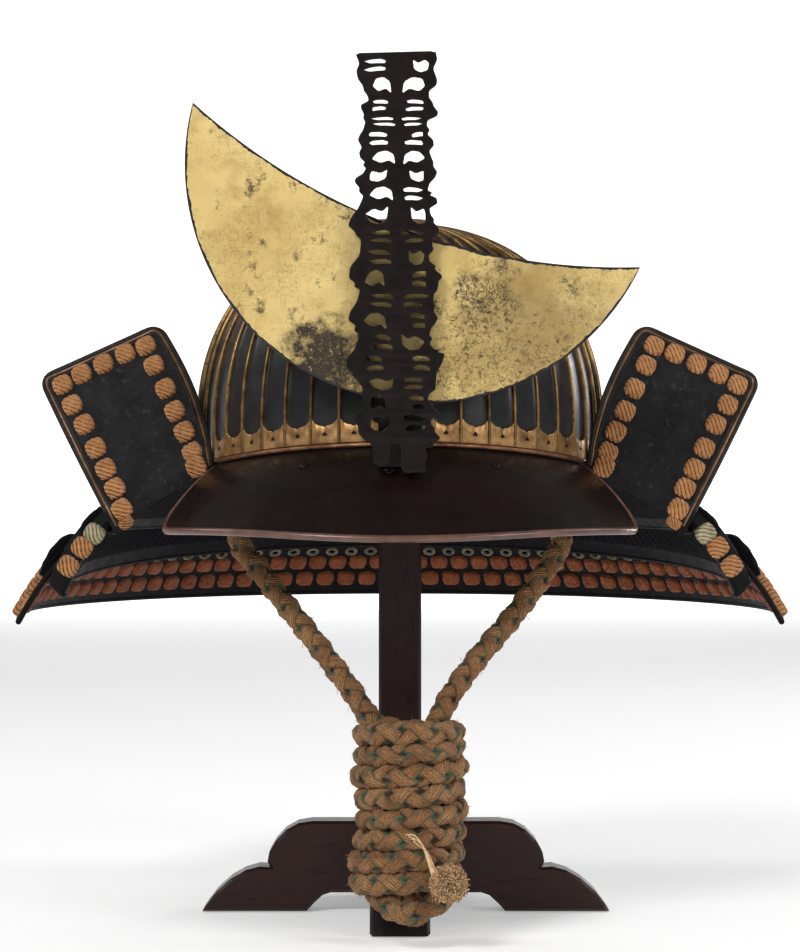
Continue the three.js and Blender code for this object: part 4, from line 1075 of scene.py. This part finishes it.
# Where the braid blocks show in the photograph, in pixels
EAR_BLOCKS = [(62.7, 386.3), (83, 374.7), (104.5, 364.5), (126.3, 354.7), (147, 346), (73.7, 405.3),
              (83.9, 425.7), (95.3, 448), (106, 469), (115, 489), (121.2, 508.8), (155.3, 366.5),
              (165.5, 389), (175.7, 410.8), (183.9, 431.8), (193.2, 452), (195.5, 467), (126, 521.6)]
EAR_BLOCK_SIZE, LOWEST_BLOCK_SIZE, LOWEST_FROM_PX = (11, 11, 2.8), (8.6, 6.4, 2.6), 515
# The knot and the two blocks on the second lame's turned end, with their sizes
TURNED_BLOCKS = (((95, 535), (11.5, 10.5, 4)), ((83, 548.5), (12, 11, 3.2)), ((70, 566), (12, 11, 3.2)))


def seen_at(p):
    """Where a point shows in the photograph."""
    scale = FOCAL_PX / (CAMERA_AWAY + p[1])
    return CENTRE_PX[0] + scale * p[0], CENTRE_PX[1] - scale * (p[2] - CAMERA_Z)


def nearest(samples, px):
    """What goes with the sample that shows nearest to a pixel."""
    return min(samples, key=lambda s: (s[0][0] - px[0]) ** 2 + (s[0][1] - px[1]) ** 2)[1]


def ear(v, d):
    return on_ear(d, v) if d < FOLD_AT else ear_fold(v, min((d - FOLD_AT) / FOLD_LONG, 0.95))


def ear_blocks():
    """Blocks of braid along the ears' edges, and on the turned ends of the second lame."""
    blocks, knots = Shape(), Shape()
    places = [(q / 60, k * 0.75) for k in range(105) for q in range(61)]
    samples = [(seen_at(ear(v, d)), (v, d)) for v, d in places]
    for px in EAR_BLOCKS:
        v, d = nearest(samples, px)
        c, ex, ey, n = surface(ear, v, d, 0.02, 1.0)
        n = -n if n.y > 0 else n
        put_block(blocks, (c + n * 0.9, ex, ey, n),
                  EAR_BLOCK_SIZE if px[1] < LOWEST_FROM_PX else LOWEST_BLOCK_SIZE, 29, 7, 0.72)
    end = [lame_point(LAMES[2], 0, v / 40) for v in range(41)]
    strip = []
    for k in range(17):
        move = Vector(mix(TURNED[0][0], TURNED[-1][0], k / 16))
        move.y -= 2.4 * math.sin(math.pi * min(1, k / 14))
        strip += [(seen_at(Vector(q) + move), Vector(q) + move) for q in end]
    along = (Vector(end[30]) - Vector(end[10])).normalized()
    n = Vector((-0.35, -0.9, 0.1))
    n = (n - along * n.dot(along)).normalized()
    for k, (px, size) in enumerate(TURNED_BLOCKS):
        at = nearest(strip, px) + n * 0.8
        put_block(blocks if k else knots, (at, along.cross(n), along, n), size, 29, 7, 0.72)
    # The blocks' grooves take the dark tan, and the knots' grooves the grey, as painted shade
    blocks.make("ear_blocks", [TAN, TAN_GROOVE_SHADE], "cord")
    knots.make("turned_end_knots", [KNOT, LOOP_AND_GROOVE_SHADE], "cord")


ear_blocks()

# The crescent crest
CRESCENT_R, HOLLOW_R, CRESCENT_HALF = 120, 320, 239 / 2
CRESCENT_X, CRESCENT_Z, CRESCENT_TILT = 8.3, 381, rad(-20.2)
CRESCENT_FRONT_Y, CRESCENT_BACK_Y = -141, -137
CRESCENT_COLS, CRESCENT_BORDER = 220, 1.35


def crescent_at(x, z, y):
    """A point of the crescent before it is tilted, as it stands on the helmet."""
    c, s = math.cos(CRESCENT_TILT), math.sin(CRESCENT_TILT)
    return [CRESCENT_X + x * c - z * s, y, CRESCENT_Z + x * s + z * c]


def arc_point(r, t):
    """A point at t of a circle of radius r whose ends lie on the chord between the crescent's horns."""
    return r * math.sin(t), math.sqrt(r * r - CRESCENT_HALF ** 2) - r * math.cos(t)


def crescent():
    y0, y1 = CRESCENT_FRONT_Y, CRESCENT_BACK_Y
    rows = []
    for i in range(CRESCENT_COLS + 1):
        t = math.asin(CRESCENT_HALF / CRESCENT_R) * (-1 + 2 * i / CRESCENT_COLS)
        steep = 1 / max(0.35, math.cos(t))
        xo, zo = arc_point(CRESCENT_R, t)
        xi, zi = arc_point(HOLLOW_R, math.asin((CRESCENT_HALF - 0.6) / HOLLOW_R) * (xo / CRESCENT_HALF))
        wide = math.hypot(xi - xo, zi - zo)
        # The dark border's share of the width, inside and outside, then that of its rounded edge
        uneven = rng.uniform(-0.35, 0.3) + 0.25 * math.sin(i * 0.37 + 1)
        edge = min(0.33, (CRESCENT_BORDER + uneven) / max(wide, 1e-6))
        rim = min(0.45, edge * steep)
        bevel = min(0.1, 0.45 / max(wide, 1e-6))
        shares = [(0, y1 - 0.4), (0, y0 + 0.4), (bevel, y0), (rim, y0)]
        shares += [(lerp(rim, 1 - edge, k / 8), y0) for k in range(1, 8)]
        shares += [(1 - edge, y0), (1 - bevel, y0), (1, y0 + 0.4)]
        shares += [(1, y1 - 0.4), (1 - bevel, y1), (1 - edge, y1)]
        shares += [(lerp(1 - edge, rim, k / 4), y1) for k in range(1, 4)]
        shares += [(rim, y1), (bevel, y1)]
        rows.append([crescent_at(lerp(xo, xi, share), lerp(zo, zi, share), y) for share, y in shares])
    # The strips between the borders, in front and behind
    gold = set(range(3, 11)) | set(range(16, 20))
    shape = Shape()
    shape.grid(rows, around=True, look=lambda i, j: 0 if i in gold else 1, caps=1)
    shape.make("crescent_fine", [LEAF, EDGE], "gold_leaf", ("crescent_crest",))


crescent()

# The openwork crest. Its ragged outline, in shares of its half width and of its height
RIGHT_SIDE = [[0.08, 0.003], [0.72, 0.006], [0.66, 0.06], [0.86, 0.066], [1.02, 0.09], [0.8, 0.12],
              [0.98, 0.148], [0.72, 0.178], [0.92, 0.21], [1.14, 0.285], [0.88, 0.295], [0.76, 0.33],
              [0.98, 0.368], [0.86, 0.41], [0.98, 0.445], [1.06, 0.47], [0.78, 0.5], [0.84, 0.54],
              [1, 0.58], [0.8, 0.61], [0.94, 0.65], [0.72, 0.668], [0.96, 0.711], [0.82, 0.744],
              [0.86, 0.786], [0.7, 0.82], [0.98, 0.852], [0.76, 0.885], [0.96, 0.927], [0.92, 0.995]]
LEFT_SIDE = [[-1.04, 0.99], [-0.98, 0.93], [-0.74, 0.89], [-0.9, 0.86], [-0.8, 0.828], [-0.98, 0.786],
             [-0.92, 0.744], [-0.78, 0.72], [-1.06, 0.688], [-0.84, 0.655], [-1.22, 0.585], [-0.9, 0.552],
             [-1.2, 0.462], [-0.92, 0.434], [-1.22, 0.364], [-0.94, 0.329], [-1.26, 0.251], [-1, 0.223],
             [-0.82, 0.176], [-1.08, 0.13], [-0.86, 0.085], [-0.62, 0.07], [-0.6, 0.021], [-0.2, 0.025],
             [-0.18, 0.075], [0.06, 0.07]]
# Each pair of openings, in the same shares: how high it lies, its half height, how far out, its half width
TIERS = [[0.962, 0.017, 0.55, 0.27], [0.915, 0.02, 0.38, 0.28], [0.868, 0.015, 0.5, 0.26],
         [0.83, 0.012, 0.36, 0.24], [0.79, 0.018, 0.5, 0.26], [0.745, 0.017, 0.36, 0.26],
         [0.703, 0.015, 0.52, 0.28], [0.66, 0.018, 0.36, 0.26], [0.61, 0.022, 0.52, 0.26],
         [0.56, 0.017, 0.4, 0.28], [0.512, 0.02, 0.44, 0.24], [0.46, 0.022, 0.56, 0.26],
         [0.41, 0.018, 0.4, 0.28], [0.362, 0.02, 0.54, 0.26], [0.312, 0.02, 0.38, 0.27],
         [0.262, 0.02, 0.6, 0.27], [0.215, 0.016, 0.38, 0.27], [0.17, 0.018, 0.5, 0.22],
         [0.122, 0.02, 0.42, 0.26]]


def softened(points, cut=0.16):
    """The closed outline with its corners cut."""
    return [mix(p, q, t) for p, q in zip(points, points[1:] + points[:1]) for t in (cut, 1 - cut)]


OPENWORK_HALF_W, OPENWORK_TALL, OPENWORK_X, OPENWORK_FOOT_Z, OPENWORK_Y = 20.5, 212.5, -1, 235.5, -147.75
OPENWORK_HALF_THICK, OPENWORK_BEVEL, SLIT_CHANCE = 1.75, 0.5, 0.62
# The openings' two forms, in shares of their half sizes
SLIT = [(-1.15, 0.1), (-0.4, 0.8), (0.5, 1), (1, 0.3), (0.9, -0.8), (0.2, -0.7), (-0.5, -0.8)]
COMMA = [(-1.1, -0.2), (-0.55, 0.75), (0.2, 1), (0.85, 0.5), (1, -0.9), (0.45, -0.35), (-0.3, -0.75)]


def openwork_outlines():
    """The crest's ragged outline, then its openings, with points in mm across and up."""
    chance = random.Random(11)

    def smooth_outline(points):
        return softened([[OPENWORK_X + x * OPENWORK_HALF_W, OPENWORK_FOOT_Z + z * OPENWORK_TALL]
                         for x, z in points])

    ragged, sides = [], RIGHT_SIDE + LEFT_SIDE
    for p, q in zip(sides, sides[1:] + sides[:1]):
        ragged.append(p)
        if abs(p[0]) > 0.65 and abs(q[0]) > 0.65:
            inward = -1 if p[0] > 0 else 1
            for t, way, least, most in ((0.4, inward, 0.02, 0.09), (0.7, -inward, 0.0, 0.07)):
                ragged.append([lerp(p[0], q[0], t) + way * chance.uniform(least, most), lerp(p[1], q[1], t)])
    outlines = [smooth_outline(ragged)]
    for k, (z, half, x, dx) in enumerate(TIERS):
        for way in (-1, 1):
            # Each opening stays inside the crest's ragged side
            reach = min(px * way for px, pz in ragged if px * way > 0.5 and abs(pz - z) < 0.045) - 0.1
            if chance.random() < SLIT_CHANCE:
                parts = [(SLIT, 0.52 * half, 0.36 * half), (SLIT, -0.56 * half, 0.36 * half)]
            else:
                parts = [(COMMA, 0, half if k % 2 else -half)]
            for form, up, high in parts:
                lean, wide = chance.uniform(-0.35, 0.35), chance.uniform(0.8, 1.15)
                middle = x + chance.uniform(-0.05, 0.05)
                outlines.append(smooth_outline([(way * min(middle - u * dx * wide, reach),
                                                 z + up + v * high + u * lean * 0.4 * half)
                                                for u, v in form]))
    return outlines


def openwork():
    curve = bpy.data.curves.new("openwork", "CURVE")
    curve.dimensions = "2D"
    curve.fill_mode = "BOTH"
    curve.extrude = (OPENWORK_HALF_THICK - OPENWORK_BEVEL) * 0.001
    curve.bevel_depth = OPENWORK_BEVEL * 0.001
    curve.offset = -OPENWORK_BEVEL * 0.001
    curve.bevel_resolution = 3
    for line in openwork_outlines():
        spline = curve.splines.new("POLY")
        spline.points.add(len(line) - 1)
        spline.use_cyclic_u = True
        for point, (x, z) in zip(spline.points, line):
            point.co = (x * 0.001, z * 0.001, 0, 1)
    flat = bpy.data.objects.new("openwork_curve", curve)
    bpy.context.collection.objects.link(flat)
    bpy.context.view_layer.update()
    mesh = bpy.data.meshes.new_from_object(flat)
    bpy.data.objects.remove(flat)
    for v in mesh.vertices:
        x, z, y = v.co
        v.co = (x, POST_Y + OPENWORK_Y * 0.001 + y, z)
    mesh.materials.clear()
    mesh.materials.append(CREST)
    finished(mesh, "openwork_fine", ("openwork_crest",), 40, 1e-6)


openwork()

# Nodes that keep their own shapes
KEPT = {
    "crest_holder": IRON, "crest_spacer_upper": IRON, "crest_spacer_lower": IRON, "cord_ring_left": IRON,
    "cord_ring_right": IRON, "stand_side_foot": WOOD_X, "stand_front_foot": DARK_WOOD, "stand_post": WOOD_Z,
    "stand_rest": WOOD_Z,
}
for kept_name, kept_look in KEPT.items():
    for material_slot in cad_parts[kept_name].material_slots:
        material_slot.material = kept_look


# Floor, background and light, in metres
def white_plane(name, grey, rough, glow, size, location, rotation=(0, 0, 0), scale=(1, 1, 1)):
    look = Look(name)
    look.done(grey, rough, Emission_Strength=glow, Emission_Color=1)
    bpy.ops.mesh.primitive_plane_add(size=size, location=location, rotation=rotation)
    plane = bpy.context.object
    plane.scale = scale
    plane.name = name
    plane.data.materials.append(look.material)
    return plane


white_plane("floor", 0.9, 0.7, 0.25, 14, (0, 0, -0.0005))
white_plane("backdrop", 0.8, 0.9, 0.85, 2.6, (0, 4, 0.6), (math.pi / 2, 0, 0), (4, 0.55, 1))

world = bpy.context.scene.world or bpy.data.worlds.new("world")
bpy.context.scene.world = world
world.use_nodes = True
world.node_tree.nodes["Background"].inputs["Color"].default_value = (1, 1, 1, 1)
world.node_tree.nodes["Background"].inputs["Strength"].default_value = 0.26

# Each light: where it stands, its size and its power
LIT_AT = Vector((0, 0, 0.25))
LIGHTS = {
    "key": ((-1.0, -2.0, 1.7), 0.8, 36),
    "fill": ((1.5, -1.8, 1.1), 0.9, 18),
    "left": ((-1.8, 0.1, 1.7), 0.9, 10),
    "right": ((1.8, 0.1, 1.7), 0.9, 10),
    "back": ((1.7, 1.5, 0.8), 0.8, 12),
}
for light_name, (location, size, power) in LIGHTS.items():
    data = bpy.data.lights.new(light_name, "AREA")
    data.shape = "DISK"
    data.size = size
    data.energy = power
    light = bpy.data.objects.new(light_name, data)
    bpy.context.collection.objects.link(light)
    light.location = location
    light.rotation_euler = (LIT_AT - Vector(location)).to_track_quat("-Z", "Y").to_euler()
